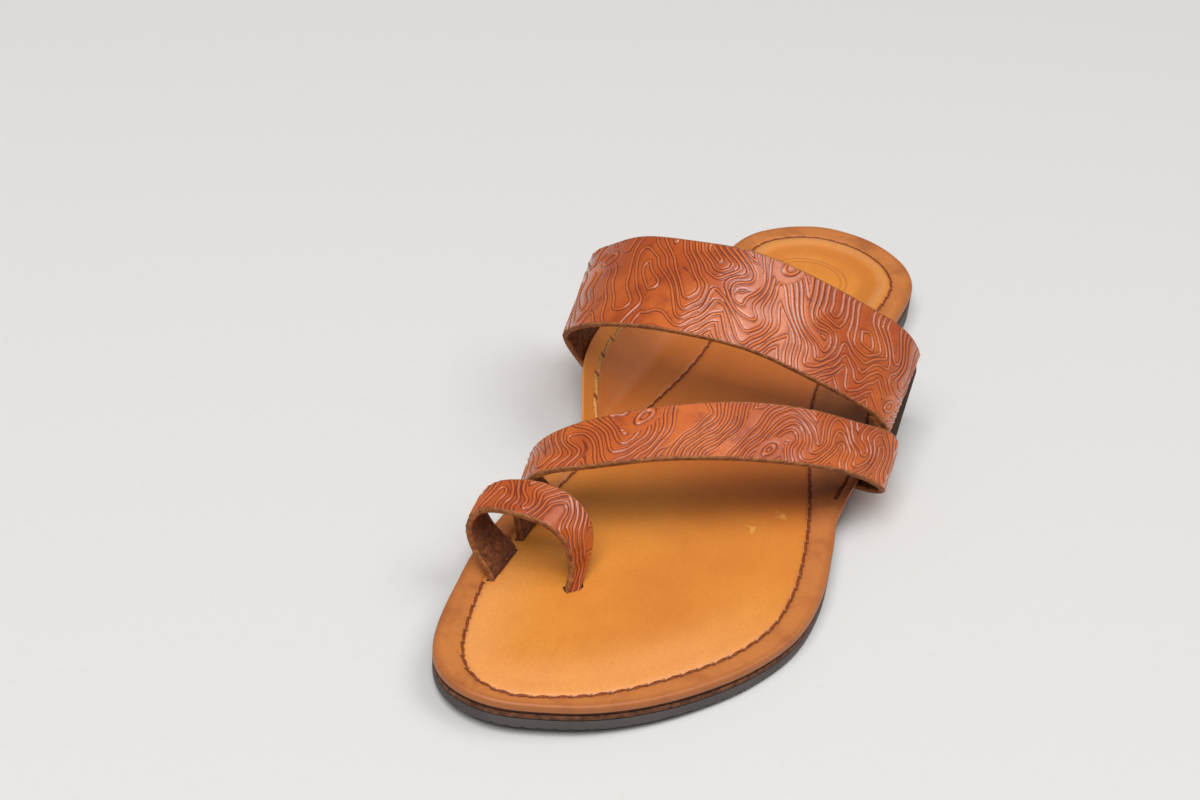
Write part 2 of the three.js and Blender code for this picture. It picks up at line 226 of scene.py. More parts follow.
def make_piece(name, points, faces, values=None, face_finish=None, caps=(), chart=None):
    """A mesh from shoe millimetres, with named values on its points and a finish number on its faces."""
    mesh = bpy.data.meshes.new(name)
    all_faces = [list(map(int, face)) for face in [*faces, *caps]]
    mesh.from_pydata(((points + SHIFT) * MM).tolist(), [], all_faces)
    mesh.polygons.foreach_set("use_smooth", np.ones(len(all_faces), bool))
    if face_finish is not None:
        mesh.polygons.foreach_set("material_index", np.asarray(face_finish, np.int32))
    for key, numbers in (values or {}).items():
        layer = mesh.attributes.new(key, "FLOAT", "POINT")
        layer.data.foreach_set("value", np.asarray(numbers, np.float32))
    if chart is not None:
        mesh.uv_layers.new(name="OFBake").uv.foreach_set("vector", np.asarray(chart, np.float32).ravel())
    mesh.update()
    piece = bpy.data.objects.new(name, mesh)
    scene.collection.objects.link(piece)
    return piece


print("two rings of four points make", len(ring_faces(2, 4)), "quads")

# %% [markdown]
# ## Welding, cutting and handing over
# A ring that shrinks to the spine leaves points in pairs, so its mesh is welded into one closed skin.
# Slots and tread are cut with a Boolean, whose manifold solver is quick and keeps closed meshes closed.
# The last helper gives a piece its finishes and the body it moves with, and hides the solid that it
# stands for.
# %% Mesh workshop
WELD = 0.02 * MM
SLIVER = WELD / 10


def weld(piece):
    """Merges the points that meet on the spine, so that the mesh is one closed skin."""
    work = bmesh.new()
    work.from_mesh(piece.data)
    bmesh.ops.remove_doubles(work, verts=work.verts, dist=WELD)
    bmesh.ops.dissolve_degenerate(work, edges=work.edges, dist=SLIVER)
    bmesh.ops.recalc_face_normals(work, faces=work.faces)
    open_edges = sum(not side.is_manifold for side in work.edges)
    work.to_mesh(piece.data)
    work.free()
    print(piece.name, "has", open_edges, "open edges")


def cut(piece, tool, operation):
    """Cuts a piece with another closed mesh, and removes the tool."""
    step = piece.modifiers.new("cut", "BOOLEAN")
    step.operation = operation
    step.solver = "MANIFOLD"
    step.object = tool
    shaped = bpy.data.meshes.new_from_object(piece.evaluated_get(bpy.context.evaluated_depsgraph_get()))
    piece.modifiers.clear()
    piece.data = shaped
    bpy.data.objects.remove(tool)


def settle(piece, slot, node, *finishes):
    """Gives a piece its finishes in its material slots and its body, and hides the solid that it stands
    for. The slot name is not used.
    """
    numbers = np.empty(len(piece.data.polygons), np.int32)
    piece.data.polygons.foreach_get("material_index", numbers)
    piece.data.materials.clear()
    for finish in finishes:
        piece.data.materials.append(finish)
    piece.data.polygons.foreach_set("material_index", np.minimum(numbers, len(finishes) - 1))
    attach(piece, "root")
    if node:
        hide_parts(node)
    triangles = sum(len(face.vertices) - 2 for face in piece.data.polygons)
    print(piece.name, "has", triangles, "triangles")


print("points closer than", WELD / MM, "mm are welded")

# %% [markdown]
# ## Short words for shader nodes
# A finish is a small tree of nodes round one Principled shader. It could be wired by hand in the shader
# editor. In a script a small class is easier to read: each word adds a node, links the sockets that get
# another node's output and sets the ones that get a number. Colours are washed one over the other, as a
# dyer works. Numbers that are the same all over stay on the shader itself.
# %% Node words
MIX_FROM, MIX_TO, MIX_RESULT = 6, 7, 2  # a Mix node's colour sockets


class Finish:
    """A material with a ground colour, to which washes, roughness and bumps are added."""

    def __init__(self, name, ground, **constants):
        self.material = bpy.data.materials.new(name)
        self.material.use_nodes = True
        self.tree = self.material.node_tree
        self.shader = self.tree.nodes["Principled BSDF"]
        self.colour = ground
        for socket, value in constants.items():
            self.shader.inputs[socket.replace("_", " ")].default_value = value

    def node(self, kind, sockets, **settings):
        """Adds a node, with its settings first because they decide which sockets count."""
        node = self.tree.nodes.new("ShaderNode" + kind)
        for key, value in settings.items():
            setattr(node, key, value)
        for key, value in sockets.items():
            if isinstance(value, bpy.types.NodeSocket):
                self.tree.links.new(value, node.inputs[key])
            else:
                node.inputs[key].default_value = value
        return node.outputs

    def stored(self, name):
        """A value that was stored on the mesh's points."""
        return self.node("Attribute", {}, attribute_name=name)["Fac"]

    def place(self):
        """Where a point is, in metres, in the piece's own frame."""
        return self.node("TexCoord", {})["Object"]

    def parts(self, vector):
        """The X, Y and Z of a vector."""
        return self.node("SeparateXYZ", {"Vector": vector})

    def grain(self, scale, detail=3.0, stretch=(1, 1, 1), roughness=0.55):
        """Soft noise, about 0.5 on average. scale counts features in a metre."""
        place = self.node("Mapping", {"Vector": self.place(), "Scale": stretch})["Vector"]
        sockets = {"Vector": place, "Scale": scale, "Detail": detail, "Roughness": roughness}
        return self.node("TexNoise", sockets)["Fac"]

    def pores(self, scale):
        """Distance to the nearest of many scattered points, as in the pebble of leather."""
        return self.node("TexVoronoi", {"Vector": self.place(), "Scale": scale})["Distance"]

    def sums(self, operation, first, second=0.0):
        """One step of arithmetic."""
        return self.node("Math", {0: first, 1: second}, operation=operation)["Value"]

    def times(self, first, second):
        """The product of two shares."""
        return self.sums("MULTIPLY", first, second)

    def remap(self, value, low, high, to_low=0.0, to_high=1.0):
        """Moves a value from one range to another, and stops it at the ends."""
        sockets = {"Value": value, "From Min": low, "From Max": high, "To Min": to_low, "To Max": to_high}
        return self.node("MapRange", sockets, interpolation_type="SMOOTHSTEP")["Result"]

    def band(self, value, rise, fall):
        """1 in a band of a value with soft sides. Each side is given by where it is 0 and where it is 1."""
        return self.times(self.remap(value, *rise), self.remap(value, *fall))

    def wash(self, share, colour, strength=1.0):
        """Lays a colour over the colour so far, by a share from 0 to 1."""
        ground = self.colour if isinstance(self.colour, bpy.types.NodeSocket) else (*self.colour, 1)
        sockets = {"Factor": self.times(share, strength), MIX_FROM: ground, MIX_TO: (*colour, 1)}
        self.colour = self.node("Mix", sockets, data_type="RGBA")[MIX_RESULT]

    def done(self, roughness=None, *bumps):
        """Joins the colour, the roughness and the bumps (height, metres, strength) to the shader."""
        self.tree.links.new(self.colour, self.shader.inputs["Base Color"])
        if roughness:
            self.tree.links.new(roughness, self.shader.inputs["Roughness"])
        below = {}
        for height, distance, strength in bumps:
            sockets = {"Height": height, "Distance": distance, "Strength": strength, **below}
            below = {"Normal": self.node("Bump", sockets)["Normal"]}
        if below:
            self.tree.links.new(below["Normal"], self.shader.inputs["Normal"])
        return self.material


def srgb(red, green, blue):
    """A colour as a painter reads it on a screen, 0 to 255, as linear light."""
    share = np.array([red, green, blue]) / 255
    return tuple(np.where(share <= 0.04045, share / 12.92, ((share + 0.055) / 1.055) ** 2.4).tolist())


print("half grey on a screen is", round(srgb(128, 128, 128)[0], 3), "of white light")

# %% [markdown]
# ## Rings round the sole
# The footbed, the fibre layer and the rubber share one plan. A sole can be cut into cross sections, but
# then the toe and heel end in slivers. Here each layer is made of closed rings instead, like the wires
# of a fence: the outer ring is the edge, and further rings walk inwards towards a spine down the middle
# of the foot. A stitch line that runs parallel to the edge then follows a ring.
# %% Ring points from the edge towards the spine
EDGE_POINTS = 900
TOE_CENTRE, HEEL_CENTRE = 43, 250


def walk_round(with_wings):
    """Rows round the plan, in pairs across it: x and y of the edge, of the sole's edge and of the spine."""
    angle = np.linspace(0, math.pi, 2 * PLAN_STEPS)
    along = SOLE_LENGTH * (1 - np.cos(angle)) / 2
    medial, lateral = medial_curve(angle), lateral_curve(angle)
    medial_reach, _, lateral_reach, _ = wings_at(along)
    y = along - SOLE_LENGTH / 2
    spine_along = np.clip(along, TOE_CENTRE, HEEL_CENTRE)
    spine = np.column_stack([sum(sole_edges(spine_along)) / 2, spine_along - SOLE_LENGTH / 2])
    sides = [np.column_stack([medial - with_wings * medial_reach, y, medial, y, spine]),
             np.column_stack([lateral + with_wings * lateral_reach, y, lateral, y, spine])]
    steps = sum(np.hypot(*np.diff(side[:, :2], axis=0).T) for side in sides)
    length = np.concatenate([[0], np.cumsum(steps)])
    even = np.linspace(0, length[-1], EDGE_POINTS // 2 + 1)
    inner, outer = (np.column_stack([np.interp(even, length, column) for column in side.T])
                    for side in sides)
    return np.vstack([inner, outer[-2:0:-1]])


def way_in(loop):
    """The way from each edge point to its spine point, and its length."""
    way = loop[:, 4:6] - loop[:, :2]
    return way, np.linalg.norm(way, axis=1)


def walk_in(loop, distance):
    """Points at a distance in from each edge point, on the way to its spine point."""
    way, length = way_in(loop)
    return loop[:, :2] + way * np.clip(distance / length, 0, 1)[:, None]


plan_loop = walk_round(False)
wing_loop = walk_round(True)
medial_half = np.arange(EDGE_POINTS) < EDGE_POINTS / 2
print("edge points are", round(float(np.hypot(*(wing_loop[1] - wing_loop[0])[:2])), 2), "mm apart")

# %% Distances in from the edge and from the stitches
STITCH_INSETS = np.array([  # edge point's distance from the toe, below 0 on the medial side; inset
    (-SOLE_LENGTH, 9), (-262, 7.5), (-225, 8.7), (-190, 11.6), (-157, 9.8), (-110, 8), (-48, 7.6),
    (-22, 8.6), (-8, 8.1), (-2.5, 6.8), (0, 4.9), (1.6, 4), (5.6, 4.7), (11, 5.5), (20, 6.5), (50, 7),
    (75, 8.1), (122, 8.9), (180, 12.2), (225, 8.8), (245, 7.5), (265, 8.4), (SOLE_LENGTH, 9),
])
BATCH = 4000  # points that are measured at once


def signed_turn(along):
    """The angle from toe to heel, below 0 on the medial side."""
    return np.sign(along) * half_turn(np.abs(along))


edge_along = plan_loop[:, 1] + SOLE_LENGTH / 2
inset_curve = curve_through(signed_turn(STITCH_INSETS[:, 0]), STITCH_INSETS[:, 1])
stitch_insets = inset_curve(signed_turn(np.where(medial_half, -edge_along, edge_along)))


def distances_in(x, y):
    """Distances in from the sole's edge, below 0 on the wings, and in from the stitch line."""
    away = np.empty(len(x))
    nearest = np.empty(len(x), int)
    for start in range(0, len(x), BATCH):
        part = slice(start, start + BATCH)
        squares = (x[part, None] - plan_loop[:, 0]) ** 2 + (y[part, None] - plan_loop[:, 1]) ** 2
        nearest[part] = squares.argmin(1)
        away[part] = np.sqrt(squares.min(1))
    medial, lateral = sole_edges(along_sole(y))
    inside = np.where((x > medial) & (x < lateral), away, -away)
    return inside, inside - stitch_insets[nearest]


print("stitches lie", stitch_insets.min().round(1), "to", stitch_insets.max().round(1), "mm from the edge")

# %% [markdown]
# ## Straps from their section tables
# A strap is a flat band of hide bent in space. A row gives the outer face's front edge and rear edge.
# The same kind of curve that lofted the solids runs through the rows, so the fine strap lies on its
# solid, and only the end of the instep strap curls in a little further. Every section is a closed loop:
# the grain face in small steps, a rounded cut edge, the flesh face in large steps and the other edge.
# %% Strap tables
STRAP_WALL = 2
FRONT_STRAP = np.array([  # fore x, y, z, aft x, y, z
    (-42, -73.5, 6.9, -39.2, -49, 6.9), (-42.4, -73.4, 11.5, -40, -48.8, 11.5),
    (-44.5, -72, 20, -45, -52, 20), (-42.5, -70.5, 29, -46, -53.5, 27),
    (-36, -70, 36, -42, -52.5, 34.5), (-22, -67.2, 40.3, -30, -49.5, 42.8),
    (-3, -58.8, 43, -9.5, -41, 48.5), (19, -48, 42, 13, -28.5, 48.5),
    (36, -37.5, 37.5, 33.5, -17, 43.8), (50, -26, 30, 48, -6.5, 35.5),
    (58.5, -17, 21, 58.5, 4, 27), (60.6, -13.5, 16.5, 60.6, 7.5, 19),
    (59.4, -9.8, 12, 58.4, 11.5, 12.8), (54.5, -7, 8.9, 52, 14, 9.6),
    (47, -4.5, 7.6, 43.5, 16, 8.6), (38, -2, 7.4, 34, 18, 8.6),
])
INSTEP_STRAP = np.array([
    (-26, 10, 8, -17, 46, 10.3), (-34, 10, 8.1, -26, 46.5, 10.5), (-42.5, 10, 11.2, -36, 47, 13.6),
    (-50.5, 10.5, 17.8, -48, 46.5, 20.2), (-57, 8.5, 28.5, -58.5, 42.5, 31),
    (-52, 0, 39.5, -57.5, 38, 45.5), (-43, -6.5, 48, -48.2, 31, 56), (-28, -10, 54, -36.5, 25, 65.6),
    (-8, -12, 57, -17.5, 18.6, 72.2), (12, -11.5, 56, 4, 16, 75), (28, -8.2, 49.7, 24, 20.8, 67.3),
    (42, -3.5, 42, 41.5, 31, 54.5), (52.5, 2, 33.5, 53, 38, 44.5), (56.2, 3.3, 28.4, 57.7, 42.4, 36),
    (57.2, 3.7, 26.2, 58.8, 45.2, 30.8),
])
LATERAL_TAIL = np.array([
    (50.9, 2.4, 32.6, 51.4, 37.8, 43.6), (55.7, 3.2, 26, 56.4, 43.6, 32.4),
    (58.8, 4, 18.5, 58.4, 47, 22.4), (55.6, 15.5, 12, 54.8, 48.5, 14), (45, 20, 9.4, 43.5, 49, 11),
    (35, 22, 9.1, 31, 49, 10.8),
])
TOE_LOOP = np.array([
    (-43.2, -94.4, 7.2, -41.6, -78.2, 7.2), (-43.8, -94.2, 11, -42.2, -78.3, 11),
    (-49, -92.6, 16.4, -48.4, -78.6, 16.6), (-52, -92, 24, -52.4, -79, 24),
    (-51, -91.5, 30, -51.6, -79, 30), (-47.5, -91, 33.6, -47.6, -77.6, 34.2),
    (-41, -91, 35.3, -40.5, -76.5, 36.4), (-33, -90.4, 34.8, -32, -75.5, 36.6),
    (-26, -89.6, 32.2, -24, -75.5, 34.4), (-21, -89, 26.6, -18.6, -76, 29),
    (-18.9, -89, 20, -16.2, -77, 22), (-18.3, -90, 14.8, -15.8, -82, 15.4),
    (-19.4, -92.2, 10.4, -15.7, -88.8, 10.4), (-19.6, -92.6, 7.2, -15.9, -89.4, 7.2),
])
STRAP_TABLES = {"front": FRONT_STRAP, "instep": INSTEP_STRAP, "tail": LATERAL_TAIL, "loop": TOE_LOOP}
print("rows in the tables:", {strap: len(table) for strap, table in STRAP_TABLES.items()})

# %% Strap sections
ROW_STEPS, SOFT_REACH = 60, 36  # steps between two rows, and how many the smoothing spans each way


def bent_curve(points, per_row):
    """Centripetal curve through points, with per_row steps between neighbours."""
    wide = np.vstack([2 * points[0] - points[1], points, 2 * points[-1] - points[-2]])
    step = np.arange((len(points) - 1) * per_row + 1)
    i = np.minimum(step // per_row, len(points) - 2)
    w = (step / per_row - i)[:, None]
    p0, p1, p2, p3 = (wide[i + k] for k in range(4))
    pairs = ((p0, p1), (p1, p2), (p2, p3))
    d0, d1, d2 = (np.sqrt(np.linalg.norm(b - a, axis=1))[:, None] for a, b in pairs)
    lead = ((p1 - p0) / d0 - (p2 - p0) / (d0 + d1) + (p2 - p1) / d1) * d1
    trail = ((p2 - p1) / d1 - (p3 - p1) / (d1 + d2) + (p3 - p2) / d2) * d1
    return p1 + lead * w + (3 * (p2 - p1) - 2 * lead - trail) * w**2 + (2 * (p1 - p2) + lead + trail) * w**3


def unit(vectors):
    """Vectors shortened or stretched to length 1."""
    return vectors / np.linalg.norm(vectors, axis=-1, keepdims=True)


def soften(path):
    """Evens out the bend of a curve from the rows, and keeps both ends where they are."""
    reach = np.arange(1, SOFT_REACH + 1)
    weights = np.hanning(2 * SOFT_REACH + 3)[1:-1]
    wide = np.vstack([2 * path[0] - path[reach[::-1]], path, 2 * path[-1] - path[-1 - reach]])
    return np.column_stack([np.convolve(column, weights / weights.sum(), "valid") for column in wide.T])


def strap_frame(table, step):
    """Sections every step mm: front edge, directions across and out, width and distance along."""
    fore, aft = (soften(bent_curve(table[:, side], ROW_STEPS)) for side in (slice(0, 3), slice(3, 6)))
    middle = (fore + aft) / 2
    run = np.concatenate([[0], np.cumsum(np.linalg.norm(np.diff(middle, axis=0), axis=1))])
    along = unit(unit(np.gradient(fore, axis=0)) + unit(np.gradient(aft, axis=0)))
    even = np.linspace(0, run[-1], int(run[-1] / step) + 1)
    fore, aft, along = (np.column_stack([np.interp(even, run, column) for column in part.T])
                        for part in (fore, aft, along))
    across = unit(aft - fore)
    width = np.linalg.norm(aft - fore, axis=1)
    return fore, across, unit(np.cross(along, across)), width, even


for strap, table in STRAP_TABLES.items():
    *_, widths, runs = strap_frame(table, 1.0)
    print(strap, "is", runs[-1].round(1), "mm long and", widths.min().round(1), "to",
          widths.max().round(1), "mm wide")

# %% [markdown]
# ## The embossed lines
# The straps carry a pressed pattern of raised lines that fold back on themselves, like the grain of
# wood round a knot. An artist could draw every line. It is quicker to place the folds: each row below
# is the bent spine of one finger, in millimetres along and across the strap. One family of fingers
# reaches in mostly from the front edge, the other from the rear edge. At every point the distance from
# the first family is taken away from the distance from the second, and a line runs at every step of the
# result. So the lines wind in and out between the fingers as long meanders, closer together where the
# step is small. A few swirls turn the leather under the lines so that they curl, and a single oval sits
# in each plain spot.
# %% Layout of the raised lines
INSTEP_LINES = {
    "fore": [  # points (along, across) of each finger
        [(10, -8), (16, 22)], [(33, -8), (36, 24)], [(52, -8), (57, 20)], [(69, -8), (75, 23)],
        [(95, -8), (91, 14), (97, 26)], [(113, -8), (121, 11)], [(134, -8), (143, 13), (138, 25)],
        [(160, -8), (166, 9)], [(178, -8), (184, 13)], [(200, -8), (204, 10)], [(116, 42), (118, 25)],
        [(161, 42), (160, 25)], [(184, 42), (186, 27)], [(206, 46), (205, 24)],
    ],
    "aft": [
        [(22, 46), (26, 14)], [(44, 46), (43, 16)], [(66, 46), (60, 28), (65, 13)],
        [(85, 46), (80, 30), (85, 11)], [(110, 46), (104, 30), (111, 19)],
        [(122, 46), (131, 28), (127, 17)],
        [(154, 46), (149, 30), (156, 15)], [(174, 46), (168, 30), (176, 19)], [(192, 46), (195, 22)],
    ],
    "steps": (6.4, 80, 3.9, 112),  # step before a place along, the place, step after another, that place
    "swirls": [  # along, across, radius, turn
        (61, 22, 8, 0.7), (96, 21, 9, -0.9), (128, 20, 8, 0.8), (156, 17, 8, -0.8), (183, 17, 8, 0.7),
    ],
    "ovals": [  # along, across, half length, half width, turn
        (75, 30.5, 3.6, 1.8, 0.5), (142.5, 33.2, 3.2, 1.7, 0.9), (191.6, 7, 3.0, 1.6, 0.9),
    ],
}
FRONT_LINES = {
    "fore": [
        [(15, -8), (18, 11)], [(40, -8), (44, 12)], [(58, -8), (70, 4), (84, 17)], [(102, -8), (112, 8)],
        [(125, -8), (128, 10)], [(145, -8), (147, 12)], [(166, -8), (165, 10)], [(187, -8), (185, 10)],
    ],
    "aft": [
        [(4, 30), (8, 6)], [(29, 30), (31, 8)], [(51, 30), (56, 11)], [(106, 32), (94, 12), (84, 1)],
        [(114, 32), (120, 10)], [(135, 32), (138, 9)], [(156, 32), (156, 9)], [(178, 32), (176, 8)],
    ],
    "steps": (4.8, 50, 4.1, 70),
    "swirls": [(43, 10, 6, -0.8), (112, 10, 6, 0.8), (138, 11, 6, -0.8)],
    "ovals": [(63.6, 16.6, 3.0, 1.5, 0.7), (103, 4, 2.2, 1.2, 0.8)],
}
LOOP_LINES = {
    "fore": [[(14, -6), (16, 7)], [(34, -6), (35, 8)], [(52, -6), (52, 6)], [(64, -3), (98, -3)]],
    "aft": [[(5, 22), (6, 8)], [(25, 22), (25, 6)], [(43, 22), (44, 5)], [(60, 22), (68, 8), (98, 5)]],
    "steps": (4.2, 30, 3.8, 60),
    "swirls": [(25, 8, 5, 0.7), (44, 8, 5, -0.8)],
    "ovals": [],
}
layouts = (INSTEP_LINES, FRONT_LINES, LOOP_LINES)
print("fingers:", [len(lines["fore"]) + len(lines["aft"]) for lines in layouts])

# %% Distance from the raised lines
FINGER_STEPS = 6
BLEND = 1.5  # how far the corner between two fingers is rounded
FLAT, PLAIN_SPOT = 3.0, 2.6  # largest distance that is told, and the plain ring round an oval
SWAY_ALONG = (0.7, 0.37, 0.9)  # height of a wave, its turn in a millimetre, its start
SWAYS_ACROSS = [(0.6, 0.31), (0.3, 0.9)]
NUDGE, LEAST_SLOPE = 0.05, 0.02
LEAST = 1e-30  # keeps the logarithm finite far from all fingers


def from_segment(x, y, x0, y0, x1, y1):
    """Distance from a line that has two ends."""
    run_x, run_y = x1 - x0, y1 - y0
    share = np.clip(((x - x0) * run_x + (y - y0) * run_y) / (run_x**2 + run_y**2), 0, 1)
    return np.hypot(x - x0 - share * run_x, y - y0 - share * run_y)


def from_fingers(u, v, fingers):
    """Distance from the nearest finger, with the corners between fingers rounded."""
    near = 0
    for finger in fingers:
        path = bent_curve(np.array(finger, float), FINGER_STEPS)
        away = np.min([from_segment(u, v, *a, *b) for a, b in zip(path[:-1], path[1:])], axis=0)
        near = near + np.exp(-away / BLEND)
    return -BLEND * np.log(near + LEAST)


def line_count(u, v, lines):
    """How many line steps lie between a point and the middle way between the two families of fingers."""
    for centre_u, centre_v, radius, turn in lines["swirls"]:
        du, dv = u - centre_u, v - centre_v
        angle = turn * np.exp(-(du * du + dv * dv) / radius**2)
        u = centre_u + du * np.cos(angle) - dv * np.sin(angle)
        v = centre_v + du * np.sin(angle) + dv * np.cos(angle)
    height, turn, start = SWAY_ALONG
    sway = sum(high * np.sin(often * u) for high, often in SWAYS_ACROSS)
    u, v = u + height * np.sin(turn * v + start), v + sway
    first, start, last, end = lines["steps"]
    step = first + (last - first) * smoothstep(u, start, end)
    return (from_fingers(u, v, lines["aft"]) - from_fingers(u, v, lines["fore"])) / step


def embossing(u, v, lines):
    """Distance in mm from the nearest raised line, up to FLAT where the leather is plain."""
    count = line_count(u, v, lines)
    slope_u = (line_count(u + NUDGE, v, lines) - count) / NUDGE
    slope_v = (line_count(u, v + NUDGE, lines) - count) / NUDGE
    from_line = np.abs(count - 0.5 - np.round(count - 0.5))
    line = np.minimum(from_line / np.maximum(np.hypot(slope_u, slope_v), LEAST_SLOPE), FLAT)
    outline = np.full(u.shape, FLAT)
    for centre_u, centre_v, half_length, half_width, turn in lines["ovals"]:
        du, dv = u - centre_u, v - centre_v
        along = (du * np.cos(turn) + dv * np.sin(turn)) / half_length
        aside = (dv * np.cos(turn) - du * np.sin(turn)) / half_width
        from_oval = (np.hypot(along, aside) - 1) * half_width
        outline = np.minimum(outline, np.abs(from_oval))
        line = FLAT - (FLAT - line) * smoothstep(from_oval, PLAIN_SPOT / 2, PLAIN_SPOT)
    return np.minimum(line, outline)


sample_u, sample_v = np.meshgrid(np.arange(60, 160), np.arange(2, 30))
sample = embossing(sample_u.astype(float), sample_v.astype(float), INSTEP_LINES)
print("half of the instep strap lies within", np.median(sample).round(2), "mm of a line")

# %% [markdown]
# ## Making a strap
# The lines must stand up as geometry, because a side view shows them along the edge. So the grain face
# is a fine grid, and each point moves out by the height of the line under it. The cut edges keep a
# small round. A strap also gets a flat chart on which its colours can be laid out. Blender can unwrap a
# mesh by itself, but the raised lines would tear the chart into scraps. A strap is a band, so its own
# length and girth are the chart here, cut once at half length so that the two halves fill a square.
# %% Chart of a strap
CHART_LENGTH, CHART_GIRTH, CAP_START, CAP_WIDTH = 0.97, 0.49, 0.98, 0.02
GRAIN_ROOM = 2.0


def strap_chart(points, is_grain, offset_share, depth_share):
    """Places on the chart for the corners of all faces, quads first and then the two ends."""
    rows, columns = points.shape[:2]
    half = rows // 2
    loop = points[half]
    girth = np.linalg.norm(np.roll(loop, -1, 0) - loop, axis=1) * np.where(is_grain, GRAIN_ROOM, 1)
    around = np.concatenate([[0], np.cumsum(girth)]) / girth.sum()
    i, j = np.meshgrid(np.arange(rows - 1), np.arange(columns), indexing="ij")
    far_half = (i >= half)[..., None]
    row = i[..., None] + np.array([0, 1, 1, 0]) - half * far_half
    column = j[..., None] + np.array([0, 0, 1, 1])
    quads = np.stack([CHART_LENGTH * row / (rows - half), far_half / 2 + CHART_GIRTH * around[column]], -1)
    ends = np.column_stack([CAP_START + CAP_WIDTH * depth_share, CHART_GIRTH * offset_share])
    return np.vstack([quads.reshape(-1, 2), ends, (ends + [0, 0.5])[::-1]])


print("on the chart the grain face gets", GRAIN_ROOM, "times the room of the flesh side")

# %% Profile of a strap
LINE_HEIGHT, LINE_TOP, LINE_FOOT = 0.27, 0.1, 0.52
MOAT_DEPTH, MOAT_PLACE, MOAT_WIDTH = 0.13, 0.64, 0.26
EDGE_ROUND, EDGE_STEPS, FLESH_STEPS = 0.55, 5, 12
LINE_FADE = (0.1, 0.6)  # lines die out between these distances from an edge
GRAIN, FLESH, CUT = 0, 1, 2  # numbers of a piece's finishes


def line_height(line):
    """Height of the raised line at a distance from its crest, with a shallow moat beside it."""
    crest = 1 - smoothstep(line, LINE_TOP, LINE_FOOT)
    return LINE_HEIGHT * crest - MOAT_DEPTH * np.exp(-((line - MOAT_PLACE) / MOAT_WIDTH) ** 2)


def round_off(depth_in, radius):
    """How far a rounded edge has dropped, at a distance in from it."""
    left = np.clip(radius - depth_in, 0, radius)
    return radius - np.sqrt(np.maximum(radius**2 - left**2, 0))


def strap_side(width, steps):
    """One side of every section: distances from its first edge, and how far its rounded edges drop."""
    crowd = EDGE_ROUND * (1 - np.cos(np.linspace(0, 1, EDGE_STEPS + 1)[:-1] * np.pi / 2))
    flat = EDGE_ROUND + np.outer(width - 2 * EDGE_ROUND, np.linspace(0, 1, steps))
    offset = np.hstack([np.tile(crowd, (len(width), 1)), flat, width[:, None] - crowd[::-1]])
    drop = round_off(crowd, EDGE_ROUND)
    return offset, np.concatenate([drop, np.zeros(steps), drop[::-1]])


print("a raised line is", LINE_HEIGHT, "mm high and", 2 * LINE_FOOT, "mm wide at its foot")

# %% Strap maker
STRAP_MESHES = [  # name, table, step of the mesh, raised lines
    ("instep_strap", INSTEP_STRAP, 0.325, INSTEP_LINES), ("front_strap", FRONT_STRAP, 0.28, FRONT_LINES),
    ("toe_loop_strap", TOE_LOOP, 0.22, LOOP_LINES), ("lateral_tail", LATERAL_TAIL, 0.8, None),
]


def make_strap(name, table, step, lines):
    """A strap with its raised lines, its finish numbers and its chart."""
    fore, across, outward, width, run = strap_frame(table, step)
    face_steps = int(width.max() / step)
    grain_offset, grain_drop = strap_side(width, face_steps)
    flesh_offset, flesh_drop = strap_side(width, FLESH_STEPS)
    offset = np.hstack([grain_offset, width[:, None] - flesh_offset])
    end_round = round_off(np.minimum(run, run[-1] - run), EDGE_ROUND)[:, None]
    depth = np.concatenate([grain_drop, STRAP_WALL - flesh_drop])
    depth = np.clip(depth[None], end_round, STRAP_WALL - end_round)
    from_edge = np.minimum(offset, width[:, None] - offset)
    line = np.full(offset.shape, FLAT)
    grain_columns = len(grain_drop)
    if lines:
        u = np.repeat(run[:, None], grain_columns, 1)
        inside = np.minimum(from_edge[:, :grain_columns], np.minimum(u, run[-1] - u))
        pressed = embossing(u, grain_offset, lines)
        line[:, :grain_columns] = FLAT - (FLAT - pressed) * smoothstep(inside, *LINE_FADE)
    height = (line_height(line) - depth)[..., None]
    points = fore[:, None] + across[:, None] * offset[..., None] + outward[:, None] * height
    rows, columns = offset.shape
    kind = np.full(columns, CUT)
    kind[EDGE_STEPS:EDGE_STEPS + face_steps - 1] = GRAIN
    kind[grain_columns + EDGE_STEPS:grain_columns + EDGE_STEPS + FLESH_STEPS - 1] = FLESH
    finish = np.concatenate([np.tile(kind, rows - 1), [CUT, CUT]])
    caps = [range(columns), range(rows * columns - 1, (rows - 1) * columns - 1, -1)]
    values = {"line": line.ravel(), "from_edge": from_edge.ravel()}
    chart = strap_chart(points, kind == GRAIN, offset[0] / width[0], depth[0] / STRAP_WALL)
    return make_piece(name, points.reshape(-1, 3), ring_faces(rows, columns), values, finish, caps, chart)


straps = [make_strap(*row) for row in STRAP_MESHES]
instep_strap, front_strap, toe_loop, lateral_tail = straps
print("faces of the straps:", [len(strap.data.polygons) for strap in straps])

# %% [markdown]
# ## The finish of the straps
# The hide is dyed red-brown, pressed and waxed. Dye and wax sink into the foot of each raised line, and
# its crest is lighter, partly from wear and partly as painted highlight, so the colour follows the stored
# distance from the line. A picture could hold these colours, but the stored distance keeps them sharp at
# any size. A coat gives the broad pale sheen that the leather has under a soft light. The flesh side is
# napped suede and the cut edge shows pale fibres.
# %% Strap leather, flesh and cut edge
STRAP_RED, STRAP_ORANGE, STRAP_DEEP = srgb(176, 76, 22), srgb(201, 100, 35), srgb(134, 48, 15)
STRAP_DARK, STRAP_LIGHT, STRAP_WORN = srgb(92, 25, 6), srgb(214, 112, 50), srgb(140, 66, 30)
FOOT_STAIN = (0.3, 0.54), (0.9, 0.6)  # distances from the line where the stain starts and ends


